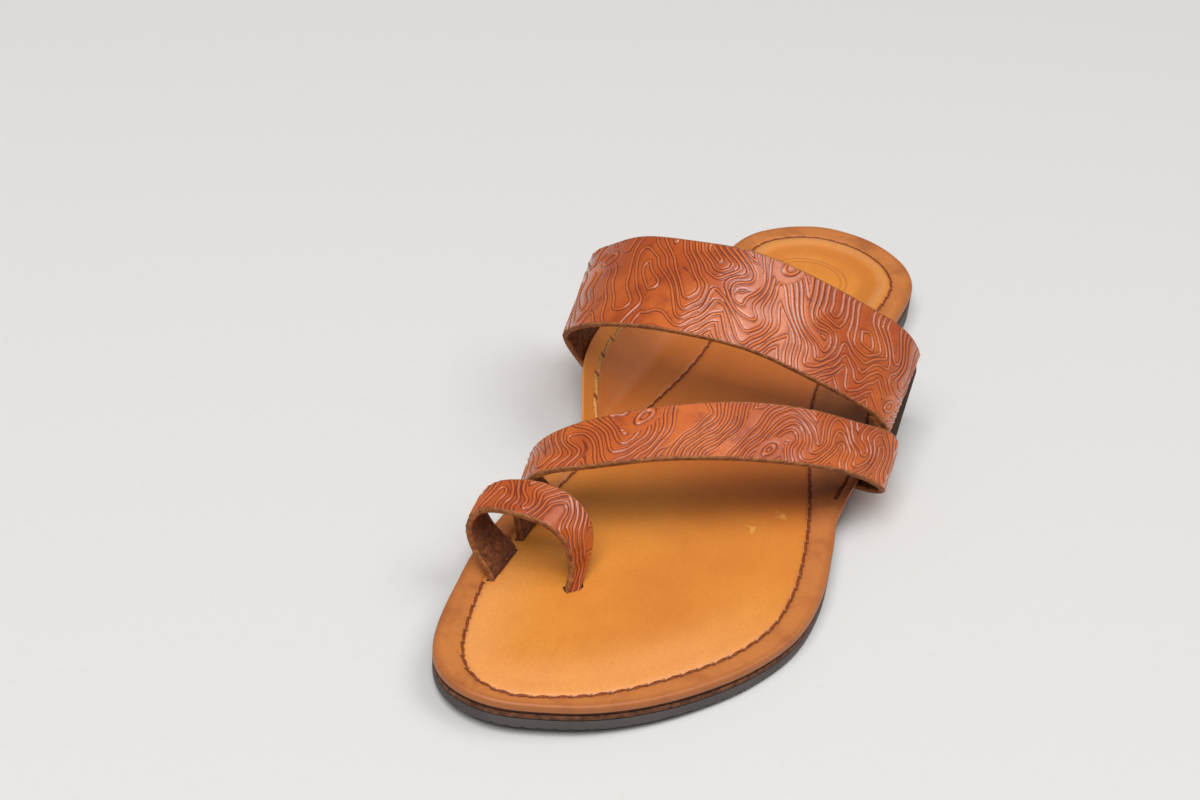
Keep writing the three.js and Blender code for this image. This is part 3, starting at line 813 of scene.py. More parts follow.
def strap_leather():
    """Dyed and waxed leather, stained beside each raised line, and lighter on its crest as wear and painted
    highlight.
    """
    finish = Finish("strap_leather", STRAP_RED, Coat_Weight=1.0, Coat_Roughness=0.26, Coat_IOR=1.5,
                    Specular_IOR_Level=0.2)
    line, fine = finish.stored("line"), finish.grain(900)
    finish.wash(finish.remap(finish.grain(38, 4), 0.36, 0.64), STRAP_ORANGE)
    finish.wash(finish.remap(finish.grain(120, 5, roughness=0.65), 0.48, 0.7), STRAP_DEEP, 0.55)
    finish.wash(finish.band(line, *FOOT_STAIN), STRAP_DARK, 0.85)
    # lighter crest of each raised line: partly wear, partly painted highlight
    finish.wash(finish.remap(line, 0.5, 0.0), STRAP_LIGHT, 0.55)
    finish.wash(finish.remap(finish.pores(1500), 0.4, 0.15), STRAP_DARK, 0.22)
    finish.wash(finish.remap(finish.stored("from_edge"), 1.4, 0.3), STRAP_WORN, 0.35)
    roughness = finish.remap(fine, 0.3, 0.7, 0.36, 0.52)
    return finish.done(roughness, (finish.pores(1300), 0.00018, 0.4), (fine, 0.0003, 0.35))


def flesh_suede(name, dark, light, sheen=0.08):
    """The napped flesh side of a hide."""
    finish = Finish(name, dark, Sheen_Weight=sheen, Sheen_Roughness=0.5, Specular_IOR_Level=0.15)
    nap = finish.grain(700, 5, roughness=0.7)
    finish.wash(finish.remap(nap, 0.35, 0.68), light)
    finish.wash(finish.remap(finish.grain(90), 0.4, 0.75), dark, 0.5)
    return finish.done(finish.remap(nap, 0.2, 0.8, 0.8, 1.0), (nap, 0.0006, 0.7))


def cut_edge(name, dark, light):
    """A raw edge of leather or board, with its fibres."""
    finish = Finish(name, dark, Specular_IOR_Level=0.25)
    fibres = finish.grain(520, 5, roughness=0.7)
    finish.wash(finish.remap(fibres, 0.35, 0.65), light)
    finish.wash(finish.remap(finish.grain(180, stretch=(1, 1, 4)), 0.45, 0.7), dark, 0.5)
    return finish.done(finish.remap(fibres, 0.3, 0.7, 0.65, 0.9), (fibres, 0.0005, 0.5))


leather = strap_leather()
flesh = flesh_suede("strap_flesh", srgb(88, 47, 25), srgb(146, 84, 48))
strap_edge = cut_edge("strap_cut_edge", srgb(120, 68, 36), srgb(172, 112, 66))
tail_suede = flesh_suede("tail_suede", srgb(44, 26, 18), srgb(76, 47, 34), 0.02)
settle(instep_strap, "strap_leather", "strap_upper", leather, flesh, strap_edge)
settle(front_strap, "strap_leather", "strap_upper", leather, flesh, strap_edge)
settle(lateral_tail, "strap_leather", "strap_upper", tail_suede, flesh, strap_edge)
settle(toe_loop, "strap_leather", "toe_loop", leather, flesh, strap_edge)

# %% [markdown]
# ## The footbed
# The footbed is one cut of thick tan leather over a thin soft layer. It is pressed into a shallow cup
# at the heel, swells a little inside its stitch line, and turns up into a wing at each side of the
# waist. It could be subdivided from a rough cage, but the stitch groove has to keep its distance from
# the edge all the way round, so it is made of rings, with many of them close to the edge and to the
# groove.
# %% Shape of the footbed's upper face
GROOVE_WIDTH, GROOVE_DEPTH = 0.9, 0.45
PAD_SLOPE, PAD_RISE = 15, 1.5
HEEL_CUP_DEPTH, HEEL_CUP_START, HEEL_CUP_END, CUP_SLOPE_START, CUP_SLOPE_END = 1.9, 196, 240, 10, 24
SWELL_PLACE, SWELL_WIDTH, SWELL_HEIGHT, HEEL_SWELL = 3.2, 2.0, 0.22, 0.4
WING_CURVE, WING_OVERRUN, LEAST_REACH = 1.35, 1.02, 0.01
HEEL_RING_CENTRE, HEEL_RING_RADIUS, HEEL_RING_WIDTH, HEEL_RING_DEPTH = (7.3, 106.3), 13.6, 1.6, 0.2
CREASES = [  # x0, y0, x1, y1, half width, depth
    (-37, -14, -31, 42, 3.4, 0.45), (38, -6, 35, 48, 3.0, 0.3), (-30, 2, -6, -4, 4.0, 0.15),
    (-22, 30, 6, 24, 5.0, 0.15), (22, -52, 46, -64, 5.0, 0.12), (-24, -44, 4, -38, 6.0, 0.14),
]
SLOTS = [  # x0, y0, x1, y1 of the cuts that the straps come out of
    (-43.4, -94.4, -41.7, -78.1), (-42.1, -73.4, -39, -48), (-19.4, -91.6, -16, -89.4),
]
SLOT_DIP_WIDTH, SLOT_DIP = 1.7, 0.5


def bell(distance, width):
    """1 in the middle, falling softly to 0 over about twice the width."""
    return np.exp(-((distance / width) ** 2))


def wing_heights(along, x):
    """How far the wings lift the leather."""
    medial, lateral = sole_edges(along)
    medial_reach, medial_rise, lateral_reach, lateral_rise = wings_at(along)
    lift = np.zeros_like(x)
    sides = ((medial - x, medial_reach, medial_rise), (x - lateral, lateral_reach, lateral_rise))
    for out, reach, rise in sides:
        share = np.clip(out / np.maximum(reach, LEAST_REACH), 0, WING_OVERRUN)
        lift = lift + np.where((out > 0) & (reach > LEAST_REACH), rise * share**WING_CURVE, 0)
    return lift


def footbed_top(x, y, inside, past_stitch):
    """Height of the upper face without its rounded edge."""
    along = along_sole(y)
    heel = smoothstep(along, HEEL_CUP_START, HEEL_CUP_END)
    height = rim_height(along) + wing_heights(along, x)
    height = height + PAD_RISE * (1 - heel) * smoothstep(past_stitch, 0, PAD_SLOPE)
    height = height - HEEL_CUP_DEPTH * heel * smoothstep(inside, CUP_SLOPE_START, CUP_SLOPE_END)
    height = height - GROOVE_DEPTH * bell(past_stitch, GROOVE_WIDTH)
    height = height + (SWELL_HEIGHT + HEEL_SWELL * heel) * bell(past_stitch - SWELL_PLACE, SWELL_WIDTH)
    from_centre = np.hypot(x - HEEL_RING_CENTRE[0], y - HEEL_RING_CENTRE[1])
    height = height - HEEL_RING_DEPTH * bell(from_centre - HEEL_RING_RADIUS, HEEL_RING_WIDTH)
    for *crease, half_width, depth in [*CREASES, *((*slot, SLOT_DIP_WIDTH, SLOT_DIP) for slot in SLOTS)]:
        height = height - depth * bell(from_segment(x, y, *crease), half_width)
    return height


print("the footbed has", len(CREASES), "creases and", len(SLOTS), "slots in view")

# %% Stitch lines
STITCH_PITCH, WING_STITCH_PITCH = 5.6, 9.2
WING_STITCHED, OUTER_WING_STITCHED = (133, 222), (128, 212)  # from and to, along the sole
WING_STITCH_INSET, OUTER_WING_STITCH_INSET = 4.8, 3.6
TURN_REACH = 3  # edge points each way that tell a loop's direction


def even_path(path, pitch):
    """A whole number of stitches of about one pitch along a path, as their end points."""
    length = np.concatenate([[0], np.cumsum(np.linalg.norm(np.diff(path, axis=0), axis=1))])
    even = np.linspace(0, length[-1], int(round(length[-1] / pitch)) + 1)
    return np.column_stack([np.interp(even, length, column) for column in path.T])


def inward(loop):
    """Directions that point in from a closed loop."""
    ahead = unit(np.roll(loop, -TURN_REACH, 0) - np.roll(loop, TURN_REACH, 0))
    return np.column_stack([ahead[:, 1], -ahead[:, 0]])


def inset_loop(loop, inset):
    """A closed loop moved inwards by a distance."""
    return loop + inward(loop) * np.reshape(inset, (-1, 1))


def wing_path(side, inset, stretch):
    """The line of stitches along one wing's edge."""
    along = wing_loop[:, 3] + SOLE_LENGTH / 2
    return inset_loop(wing_loop[:, :2], inset)[side & (along > stretch[0]) & (along < stretch[1])]


rim_line = inset_loop(plan_loop[:, :2], stitch_insets)
rim_stitches = even_path(np.vstack([rim_line, rim_line[:1]]), STITCH_PITCH)
wing_line = wing_path(medial_half, WING_STITCH_INSET, WING_STITCHED)
outer_wing_line = wing_path(~medial_half, OUTER_WING_STITCH_INSET, OUTER_WING_STITCHED)
wing_stitches = even_path(wing_line, WING_STITCH_PITCH)
outer_wing_stitches = even_path(outer_wing_line, STITCH_PITCH)
print("stitches:", len(rim_stitches) - 1, "round the rim,", len(wing_stitches) - 1, "on the inner wing,",
      len(outer_wing_stitches) - 1, "on the outer wing")

# %% Stitch holes and wing grooves
HOLE_RADIUS, HOLE_DEPTH, HOLE_REACH = 0.62, 0.45, 3
WING_GROOVE_WIDTH, WING_GROOVE_DEPTH, WING_GROOVE_STEP = 0.8, 0.3, 0.8
holes = np.vstack([rim_stitches[:-1], wing_stitches, outer_wing_stitches])


def hole_dips(x, y):
    """1 in the middle of a stitch hole and 0 away from it."""
    dip = np.zeros(len(x))
    for hole_x, hole_y in holes:
        near = np.abs(y - hole_y) < HOLE_REACH
        away = np.hypot(x[near] - hole_x, y[near] - hole_y)
        dip[near] = np.maximum(dip[near], bell(away, HOLE_RADIUS))
    return dip


def wing_grooves(x, y):
    """1 on the stitch line of a wing and 0 away from it."""
    groove = 0
    for line in (wing_line, outer_wing_line):
        path_x, path_y = even_path(line, WING_GROOVE_STEP).T
        away = np.min(np.hypot(x[:, None] - path_x, y[:, None] - path_y), axis=1)
        groove = groove + bell(away, WING_GROOVE_WIDTH)
    return groove


print("stitch holes:", len(holes))

# %% Footbed mesh
FOOTBED_EDGE_ROUND, UNDER_ROUND = 1.1, 0.4
EDGE_RINGS = [0, 0.06, 0.2, 0.42, 0.74, FOOTBED_EDGE_ROUND]
UNDER_EDGE = [(0.0, 1.0), (0.0, UNDER_ROUND), (UNDER_ROUND, 0.0)]  # inset, rise above the underside
WALL_ROWS = 2  # rows of quads on the cut edge
OUTER_RINGS, GROOVE_RINGS, INNER_RINGS, UNDER_RINGS = 26, 14, 26, 5
GROOVE_ZONE, LEAST_LEAN = 2.1, 0.5


def spread(start, end, count):
    """Distances from start to end in even parts, without the start."""
    return [start + (end - start) * k / count for k in range(1, count + 1)]


def footbed_steps(loop):
    """Distances in from the edge for every ring, from the spine out to the edge."""
    way, whole = way_in(loop)
    lean = np.abs(np.sum(unit(way) * inward(loop[:, 2:4]), axis=1))
    reach = np.linalg.norm(loop[:, :2] - loop[:, 2:4], axis=1)
    to_groove = reach + stitch_insets / np.maximum(lean, LEAST_LEAN)
    start, end = to_groove - GROOVE_ZONE, to_groove + GROOVE_ZONE
    steps = [np.full(len(loop), ring) for ring in EDGE_RINGS]
    steps += spread(FOOTBED_EDGE_ROUND, start, OUTER_RINGS)
    steps += spread(start, end, GROOVE_RINGS)
    steps += spread(end, whole, INNER_RINGS)
    return steps[::-1]


def make_footbed():
    """Rings over the top from the spine to the edge, down the wall, and back to the spine below."""
    loop, count = wing_loop, len(wing_loop)
    steps = footbed_steps(loop)
    flat = np.concatenate([walk_in(loop, step) for step in steps])
    x, y = flat.T
    inside, past_stitch = distances_in(x, y)
    edge_in = np.concatenate(steps)
    dips = hole_dips(x, y)
    top = footbed_top(x, y, inside, past_stitch) - round_off(edge_in, FOOTBED_EDGE_ROUND)
    top = top - HOLE_DEPTH * dips - WING_GROOVE_DEPTH * wing_grooves(x, y)
    rings = [np.column_stack([flat, top])]
    under = [(np.full(count, inset), rise) for inset, rise in UNDER_EDGE]
    under += [(step, 0) for step in spread(UNDER_ROUND, way_in(loop)[1], UNDER_RINGS)]
    for step, rise in under:
        ground = walk_in(loop, step)
        along = along_sole(ground[:, 1])
        height = footbed_bottom(along) + wing_heights(along, ground[:, 0]) + rise
        rings.append(np.column_stack([ground, height]))
    stored = {"past_stitch": (past_stitch, -stitch_insets.mean()), "hole": (dips, 0),
              "edge_in": (edge_in, 0)}
    values = {key: np.concatenate([upper, np.full(len(under) * count, below)])
              for key, (upper, below) in stored.items()}
    finish = [GRAIN] * len(steps) + [CUT] * WALL_ROWS + [FLESH] * (len(under) - WALL_ROWS - 1)
    faces = ring_faces(len(steps) + len(under), count)
    return make_piece("footbed_leather", np.vstack(rings), faces, values, np.repeat(finish, count))


footbed = make_footbed()
print("footbed has", len(footbed.data.polygons), "faces before its slots are cut")

# %% Weld the spine and cut the slots
SLOT_CLEARANCE, TOOL_STEP = 0.3, 3.0


def strap_tool(table, grow):
    """A plain closed strap, larger all round, that cuts a slot with clearance."""
    fore, across, outward, width, run = strap_frame(table, TOOL_STEP)
    along = unit(np.gradient(fore + across * width[:, None] / 2, axis=0))
    longer = np.zeros((len(run), 1))
    longer[0], longer[-1] = -grow, grow
    near, far, over, below = np.full(len(run), -grow), width + grow, -grow, STRAP_WALL + grow
    corners = [fore + across * offset[:, None] - outward * depth + along * longer
               for offset, depth in ((near, over), (far, over), (far, below), (near, below))]
    faces = ring_faces(len(run), 4)
    last = 4 * (len(run) - 1)
    caps = [(0, 1, 2, 3), (last + 3, last + 2, last + 1, last)]
    points = np.stack(corners, 1).reshape(-1, 3)
    return make_piece("slot_tool", points, faces, None, [CUT] * (len(faces) + len(caps)), caps)


weld(footbed)
for table in STRAP_TABLES.values():
    cut(footbed, strap_tool(table, SLOT_CLEARANCE), "DIFFERENCE")

# %% [markdown]
# ## The finish of the footbed
# The tan leather is smooth and lightly polished. Its middle is a warm yellow tan, and the rim outside
# the stitches is redder and duller because it was burnished by hand. The waist is painted redder and
# darker as shade and red bounce light under the straps, and a painted highlight runs along the edge of
# the inner wing. A painted sheen lies inside the stitches at the toe, and the heel cup gets a painted
# highlight on its ridge and painted shade on its slope. The colours could be painted on the mesh. Here
# they follow the stored distances from the edge and from the stitches, so they stay in place when a size
# changes. Fine pores, cloudy patches of dye and painted shade in the stitch holes keep the leather from
# looking like plastic.
# %% Colours and zones of the footbed
TAN_BRIGHT, TAN_DEEP, RIM_TAN = srgb(220, 139, 52), srgb(208, 123, 44), srgb(187, 113, 60)
HEEL_RIDGE_HIGHLIGHT, HEEL_CUP_SHADE, SCUFF_TAN = srgb(206, 144, 88), srgb(190, 108, 40), srgb(246, 178, 84)
TOE_PAINTED_SHEEN, EDGE_BROWN, HOLE_SHADE_BROWN = srgb(240, 166, 98), srgb(140, 72, 34), srgb(84, 25, 5)
STREAK_TAN, RING_TAN = srgb(176, 96, 36), srgb(170, 92, 34)
WAIST_SHADE_RED, WING_EDGE_HIGHLIGHT = srgb(206, 104, 40), srgb(248, 156, 62)
HEEL_ZONE, TOE_ZONE, INNER_SIDE = (0.06, 0.1), (-0.06, -0.11), (0.01, -0.01)  # metres, from 0 to 1
WAIST_ZONE = (-0.05, -0.01), (0.07, 0.04)
HEEL_RIDGE, CUP_SLOPE, TOE_SHEEN_BAND = ((0.8, 2.6), (6.5, 3.6)), ((4.5, 7), (14, 9)), ((24, 3), (-0.6, 0.8))
RIM_START, WING_STRIP, DARK_EDGE, RIM_ON_WING = (2.0, -0.9), (5.6, 4.4), (3.2, 0.4), 0.1
RAGGED_RIM, TORN_SCUFF = 1.2, 1.6  # how far noise moves an outline, in mm
SCUFFS = [((31.6, -31.4), 1.7), ((25, -42.2), 1.4)]  # place on the plan, size in mm
SCUFF_CORE = 0.4  # share of its size over which a scuff is strongest
HEEL_LINES, HEEL_LINE_WIDTH = (14.4, 12.4), (0.55, 0.15)


def from_spot(finish, spot):
    """Distance in mm from a place on the plan of the shoe."""
    flat = finish.node("VectorMath", {0: finish.place(), 1: (1, 1, 0)}, operation="MULTIPLY")["Vector"]
    away = finish.node("VectorMath", {0: flat, 1: row_place((*spot, 0))}, operation="DISTANCE")["Value"]
    return finish.sums("DIVIDE", away, MM)


def pressed_rings(finish):
    """1 on the thin rings pressed into the heel."""
    rings = 0.0
    for radius in HEEL_LINES:
        from_ring = finish.sums("SUBTRACT", from_spot(finish, HEEL_RING_CENTRE), radius)
        ring = finish.remap(finish.sums("ABSOLUTE", from_ring), *HEEL_LINE_WIDTH)
        rings = finish.sums("ADD", ring, rings)
    return rings


print("the footbed leather has", len(SCUFFS), "scuffs and", len(HEEL_LINES), "pressed rings")

# %% Footbed leather


def footbed_leather():
    """Tan leather that changes with the edge, the stitches and the place along the foot."""
    finish = Finish("footbed_tan", TAN_BRIGHT, Coat_Weight=0.2, Coat_Roughness=0.4, Specular_IOR_Level=0.4)
    past, edge_in, hole = finish.stored("past_stitch"), finish.stored("edge_in"), finish.stored("hole")
    across, along, _ = finish.parts(finish.place()).values()
    heel, toe = finish.remap(along, *HEEL_ZONE), finish.remap(along, *TOE_ZONE)
    waist = finish.band(along, *WAIST_ZONE)
    wing = finish.times(waist, finish.remap(across, *INNER_SIDE))
    off_wing = finish.remap(wing, 0, 1, 1, RIM_ON_WING)
    ragged = finish.remap(finish.grain(140), 0.2, 0.8, -RAGGED_RIM, RAGGED_RIM)
    rim = finish.times(finish.remap(finish.sums("ADD", past, ragged), *RIM_START), off_wing)
    clouds, fine = finish.grain(22, 4), finish.grain(1100)
    finish.wash(finish.remap(clouds, 0.35, 0.7), TAN_DEEP)
    # painted shade and red bounce light in the waist, under the straps
    finish.wash(waist, WAIST_SHADE_RED, 0.6)
    # painted highlight on the ridge round the heel cup
    finish.wash(finish.times(finish.band(past, *HEEL_RIDGE), heel), HEEL_RIDGE_HIGHLIGHT, 0.5)
    # painted shade on the slope of the heel cup
    finish.wash(finish.times(finish.band(past, *CUP_SLOPE), heel), HEEL_CUP_SHADE, 0.55)
    finish.wash(rim, RIM_TAN, 0.75)
    handled = finish.remap(finish.grain(75, 5, roughness=0.65), 0.44, 0.7)
    finish.wash(finish.times(rim, handled), EDGE_BROWN, 0.55)
    # painted sheen: a paler band inside the toe's stitch line stands in for the light on the curved pad
    finish.wash(finish.times(finish.band(past, *TOE_SHEEN_BAND), toe), TOE_PAINTED_SHEEN, 0.5)
    # painted highlight along the edge of the inner wing, where it faces the light
    finish.wash(finish.times(finish.remap(edge_in, *WING_STRIP), wing), WING_EDGE_HIGHLIGHT, 0.6)
    finish.wash(finish.times(finish.remap(edge_in, *DARK_EDGE), off_wing), EDGE_BROWN, 0.4)
    # painted shade in and round each stitch hole
    hole_shade = finish.remap(hole, 0.06, 0.5, 0, 0.9)
    finish.wash(hole_shade, HOLE_SHADE_BROWN)
    finish.wash(finish.remap(finish.grain(160, 4, stretch=(1, 0.25, 1)), 0.5, 0.75), STREAK_TAN, 0.1)
    finish.wash(finish.remap(fine, 0.64, 0.36), STREAK_TAN, 0.14)
    torn = finish.remap(finish.grain(420), 0.3, 0.7, -TORN_SCUFF, TORN_SCUFF)
    for spot, size in SCUFFS:
        away = finish.sums("ADD", from_spot(finish, spot), torn)
        finish.wash(finish.remap(away, size, size * SCUFF_CORE), SCUFF_TAN, 0.5)
    rings = pressed_rings(finish)
    finish.wash(rings, RING_TAN, 0.35)
    polish = finish.sums("MAXIMUM", finish.remap(clouds, 0.3, 0.7, 0.42, 0.55), hole_shade)
    pressed = finish.sums("SUBTRACT", 1.0, rings)
    bumps = (finish.pores(1700), 0.00008, 0.3), (fine, 0.00012, 0.25), (pressed, 0.0002, 0.8)
    return finish.done(polish, *bumps)


footbed_edge = cut_edge("footbed_cut_edge", srgb(44, 24, 14), srgb(86, 46, 26))
footbed_flesh = flesh_suede("footbed_flesh", srgb(104, 66, 40), srgb(150, 104, 66))
settle(footbed, "footbed_leather", "footbed", footbed_leather(), footbed_flesh, footbed_edge)

# %% [markdown]
# ## The stitches
# Every stitch is a short length of waxed two-ply thread that rises out of one hole, lies in the groove
# and dives into the next. A curve with a bevel would do for one of them. For more than a hundred, one
# joined mesh from arrays is lighter: each thread is a small tube with pinched ends and a slow twist.
# %% Thread maker
THREAD_SIDES, THREAD_STEPS = 8, 11
THREAD_RADIUS, THREAD_FLAT, THREAD_PINCH = 0.52, 0.7, 0.6
THREAD_DIVE, DIVE_SHAPE, THREAD_LIFT = 0.9, 0.35, 0.12
STITCH_SLANT, HOLE_SHARE, SLOT_MARGIN = 0.1, 0.03, 2.2
PLY_RELIEF, PLY_TWIST = 0.1, 5


def one_stitch(first, last):
    """Rings of a tube from one hole to the next, lying on the footbed."""
    turn = np.linspace(0, 2 * np.pi, THREAD_SIDES, endpoint=False)
    share = np.linspace(0, 1, THREAD_STEPS)[:, None]
    way = last - first
    aside = unit(np.array([-way[1], way[0]]))
    lean = STITCH_SLANT * np.linalg.norm(way) * (share - 0.5)
    path = first + way * (HOLE_SHARE + (1 - 2 * HOLE_SHARE) * share) + aside * lean
    rise = np.sin(np.pi * share) ** DIVE_SHAPE
    on_top = footbed_top(*path.T, *distances_in(*path.T))[:, None]
    height = on_top - THREAD_DIVE * (1 - rise) + THREAD_LIFT
    ply = 1 + PLY_RELIEF * np.cos(2 * (turn - PLY_TWIST * share))
    radius = THREAD_RADIUS * (THREAD_PINCH + (1 - THREAD_PINCH) * rise) * ply
    flat = path[:, None] + aside * (radius * np.cos(turn))[..., None]
    return np.dstack([flat, height + radius * np.sin(turn) * THREAD_FLAT]).reshape(-1, 3)


def thread_row(name, ends, slots=()):
    """Tubes between neighbouring stitch ends, except over a slot."""
    tubes = []
    for first, last in zip(ends[:-1], ends[1:]):
        if all(from_segment(*(first + last) / 2, *slot) >= SLOT_MARGIN for slot in slots):
            tubes.append(one_stitch(first, last))
    sides = np.arange(THREAD_SIDES)
    end_ring = (THREAD_STEPS - 1) * THREAD_SIDES + sides[::-1]
    wall = ring_faces(THREAD_STEPS, THREAD_SIDES)[:, ::-1]
    faces = []
    for base in np.arange(len(tubes)) * THREAD_STEPS * THREAD_SIDES:
        faces += [*(wall + base), sides + base, end_ring + base]
    print(name, "has", len(tubes), "stitches")
    return make_piece(name, np.vstack(tubes), faces)


def waxed_thread(name, dark, light):
    """Thread in two shades of its fibres."""
    finish = Finish(name, dark, Specular_IOR_Level=0.35)
    fibres = finish.grain(1400, stretch=(1, 1, 2))
    finish.wash(finish.remap(fibres, 0.3, 0.7), light)
    return finish.done(finish.remap(fibres, 0.3, 0.7, 0.5, 0.75), (fibres, 0.0002, 0.5))


dark_thread = waxed_thread("dark_thread", srgb(100, 42, 16), srgb(150, 76, 34))
light_thread = waxed_thread("light_thread", srgb(176, 128, 66), srgb(222, 178, 104))
settle(thread_row("rim_stitches", rim_stitches, SLOTS), "thread", None, dark_thread)
settle(thread_row("wing_stitches", wing_stitches), "thread", None, light_thread)
settle(thread_row("outer_wing_stitches", outer_wing_stitches), "thread", None, dark_thread)

# %% [markdown]
# ## The fibre layer
# Between leather and rubber lies a thin board of pressed fibre. Only its edge shows: brown, rough and
# ground by hand flush with the other layers. Bump alone would leave its outline too clean, so the rings
# up its wall carry a small even noise, and the edge catches the light unevenly.
# %% Fibre midsole
LAYER_INSET = 4.0
FIBRE_ROUGHNESS, FIBRE_NOISE = 0.09, [(1.3, 1.0), (3.1, 0.6)]  # mm; waves in a millimetre, share
FIBRE_WALL = [(0.25, 0.0), (0.0, 0.2), (0.0, 0.6), (0.05, 1.0), (0.0, 1.35), (0.25, MIDSOLE_THICKNESS)]
FIBRE_FLATS = [(None, 0), (LAYER_INSET, 0)], [(LAYER_INSET, MIDSOLE_THICKNESS), (None, MIDSOLE_THICKNESS)]


def layer_rings(levels):
    """Rings of the plan. A level is an inset (None at the spine), a height function and a rise above it."""
    whole = way_in(plan_loop)[1]
    rings = []
    for inset, height, rise in levels:
        flat = walk_in(plan_loop, whole if inset is None else inset)
        rings.append(np.column_stack([flat, height(along_sole(flat[:, 1])) + rise]))
    return rings


def make_layer(name, rings):
    """A closed layer of the sole from rings that run from its lower spine to its upper spine."""
    layer = make_piece(name, np.vstack(rings)[::-1], ring_faces(len(rings), EDGE_POINTS))
    weld(layer)
    return layer


fibre_levels = [*FIBRE_FLATS[0], *FIBRE_WALL, *FIBRE_FLATS[1]]
fibre_rings = layer_rings([(inset, midsole_bottom, rise) for inset, rise in fibre_levels])
for ring in fibre_rings[2:-2]:
    for point, outwards in zip(ring, unit(ring[:, :2] - plan_loop[:, 4:6])):
        rough = sum(share * noise.noise(Vector(point * waves)) for waves, share in FIBRE_NOISE)
        point[:2] += outwards * FIBRE_ROUGHNESS * rough
midsole = make_layer("fibre_midsole", fibre_rings)
settle(midsole, "fibre_board", "midsole", cut_edge("fibre_board", srgb(78, 44, 29), srgb(132, 84, 58)))

# %% [markdown]
# ## The rubber sole
# The sole is moulded grey-brown rubber. Bands of grooves cross it at the toe, the ball and the heel,
# and one band runs its whole length with two jogs, so that blocks stand where the bands cross. Grooves
# follow straight lines, which rings can't, so the tread is a grid with extra lines in every groove, and
# the plan of the sole is cut out of it. The knurl between the grooves is too fine for a mesh: two
# crossed waves raise it as bump.
# %% Tread bands
GROOVE_PITCH, GROOVES_A_BAND = 4.31, 7
TREAD_DEPTH = 1.1
TREAD_PROFILE = np.array([  # distance from a groove's middle, share of the depth
    (0, 1), (0.36, 1), (0.48, 0.9), (0.57, 0.35), (0.65, 0.07), (0.75, 0),
])
BLOCK_EDGE, BLOCK_CORNER, CORNER_LINES = 0.57, 0.75, (1.0, 1.32)
CROSS_BANDS = (-107.6, -43.45, 97.35)
LONG_BAND = np.array([  # y, middle x
    (-150, -10.25), (-90, -10.25), (-76, -0.2), (-23, -0.2), (-11, 7.85), (150, 7.85),
])
JOG_ROUND = np.linspace(-4, 4, 9)
PLAIN_STEP, LINE_CLEARANCE = 2.5, 0.6
GRID_HALF_LENGTH, GRID_HALF_WIDTH = 146, 75
band_offsets = (np.arange(GROOVES_A_BAND) - (GROOVES_A_BAND - 1) / 2) * GROOVE_PITCH
half_groove = np.concatenate([TREAD_PROFILE[1:, 0], CORNER_LINES])
groove_lines = np.concatenate([-half_groove[::-1], [0], half_groove])


def grid_lines(half, grooves):
    """Plain lines and the lines in and beside each groove, with no two close together."""
    fine = (grooves[:, None] + groove_lines).ravel()
    plain = np.arange(-half, half, PLAIN_STEP)
    plain = plain[np.min(np.abs(plain[:, None] - fine), axis=1) > LINE_CLEARANCE]
    return np.sort(np.concatenate([fine, plain, [half]]))


def from_groove(offset, grooves):
    """Distance from the middle of the nearest groove."""
    return np.min(np.abs(offset[..., None] - grooves), axis=-1)


def tread_cut(from_long, from_cross):
    """Share of the groove depth, with round corners on the blocks between crossing grooves."""
    reach = BLOCK_EDGE + BLOCK_CORNER
    away = reach - np.hypot(np.maximum(reach - from_long, 0), np.maximum(reach - from_cross, 0))
    return np.interp(away, *TREAD_PROFILE.T)


cross_grooves = np.concatenate([middle + band_offsets for middle in CROSS_BANDS])
tread_y, tread_s = grid_lines(GRID_HALF_LENGTH, cross_grooves), grid_lines(GRID_HALF_WIDTH, band_offsets)
jog = np.mean([np.interp(tread_y + ahead, *LONG_BAND.T) for ahead in JOG_ROUND], axis=0)
grid_s, grid_y = np.meshgrid(tread_s, tread_y)
from_long, from_cross = from_groove(grid_s, band_offsets), from_groove(grid_y, cross_grooves)
groove_depth = TREAD_DEPTH * tread_cut(from_long, from_cross)
under = np.stack([grid_s + jog[:, None], grid_y, ground_height(along_sole(grid_y)) + groove_depth], -1)
print("tread grid:", under.shape[:2], "points,", len(cross_grooves), "cross grooves")

# %% Rubber sole
RUBBER_ROUND, ROUND_STEPS = 1.4, 6
TREAD_SKIN = 0.02  # the uncut sole is this much deeper, so that the tread makes its whole underside
RUBBER_TOP_EDGE = [(0.0, -0.35), (0.12, -0.08), (0.45, 0), (LAYER_INSET, 0), (None, 0)]  # inset, rise
BLOCK_TOP = 30


def tread_block():
    """A closed block over the tread, with the grooves in its lower face."""
    rows, columns = under.shape[:2]
    count = rows * columns
    over = under.copy()
    over[..., 2] = BLOCK_TOP
    number = np.arange(count).reshape(rows, columns)
    low = np.stack([number[:-1, :-1], number[1:, :-1], number[1:, 1:], number[:-1, 1:]], -1).reshape(-1, 4)
    rim = np.concatenate([number[0], number[1:, -1], number[-1, -2::-1], number[-2:0:-1, 0]])
    after = np.roll(rim, -1)
    walls = np.column_stack([rim, after, after + count, rim + count])
    points = np.vstack([under.reshape(-1, 3), over.reshape(-1, 3)])
    return make_piece("tread_block", points, np.vstack([low, low[:, ::-1] + count, walls]))


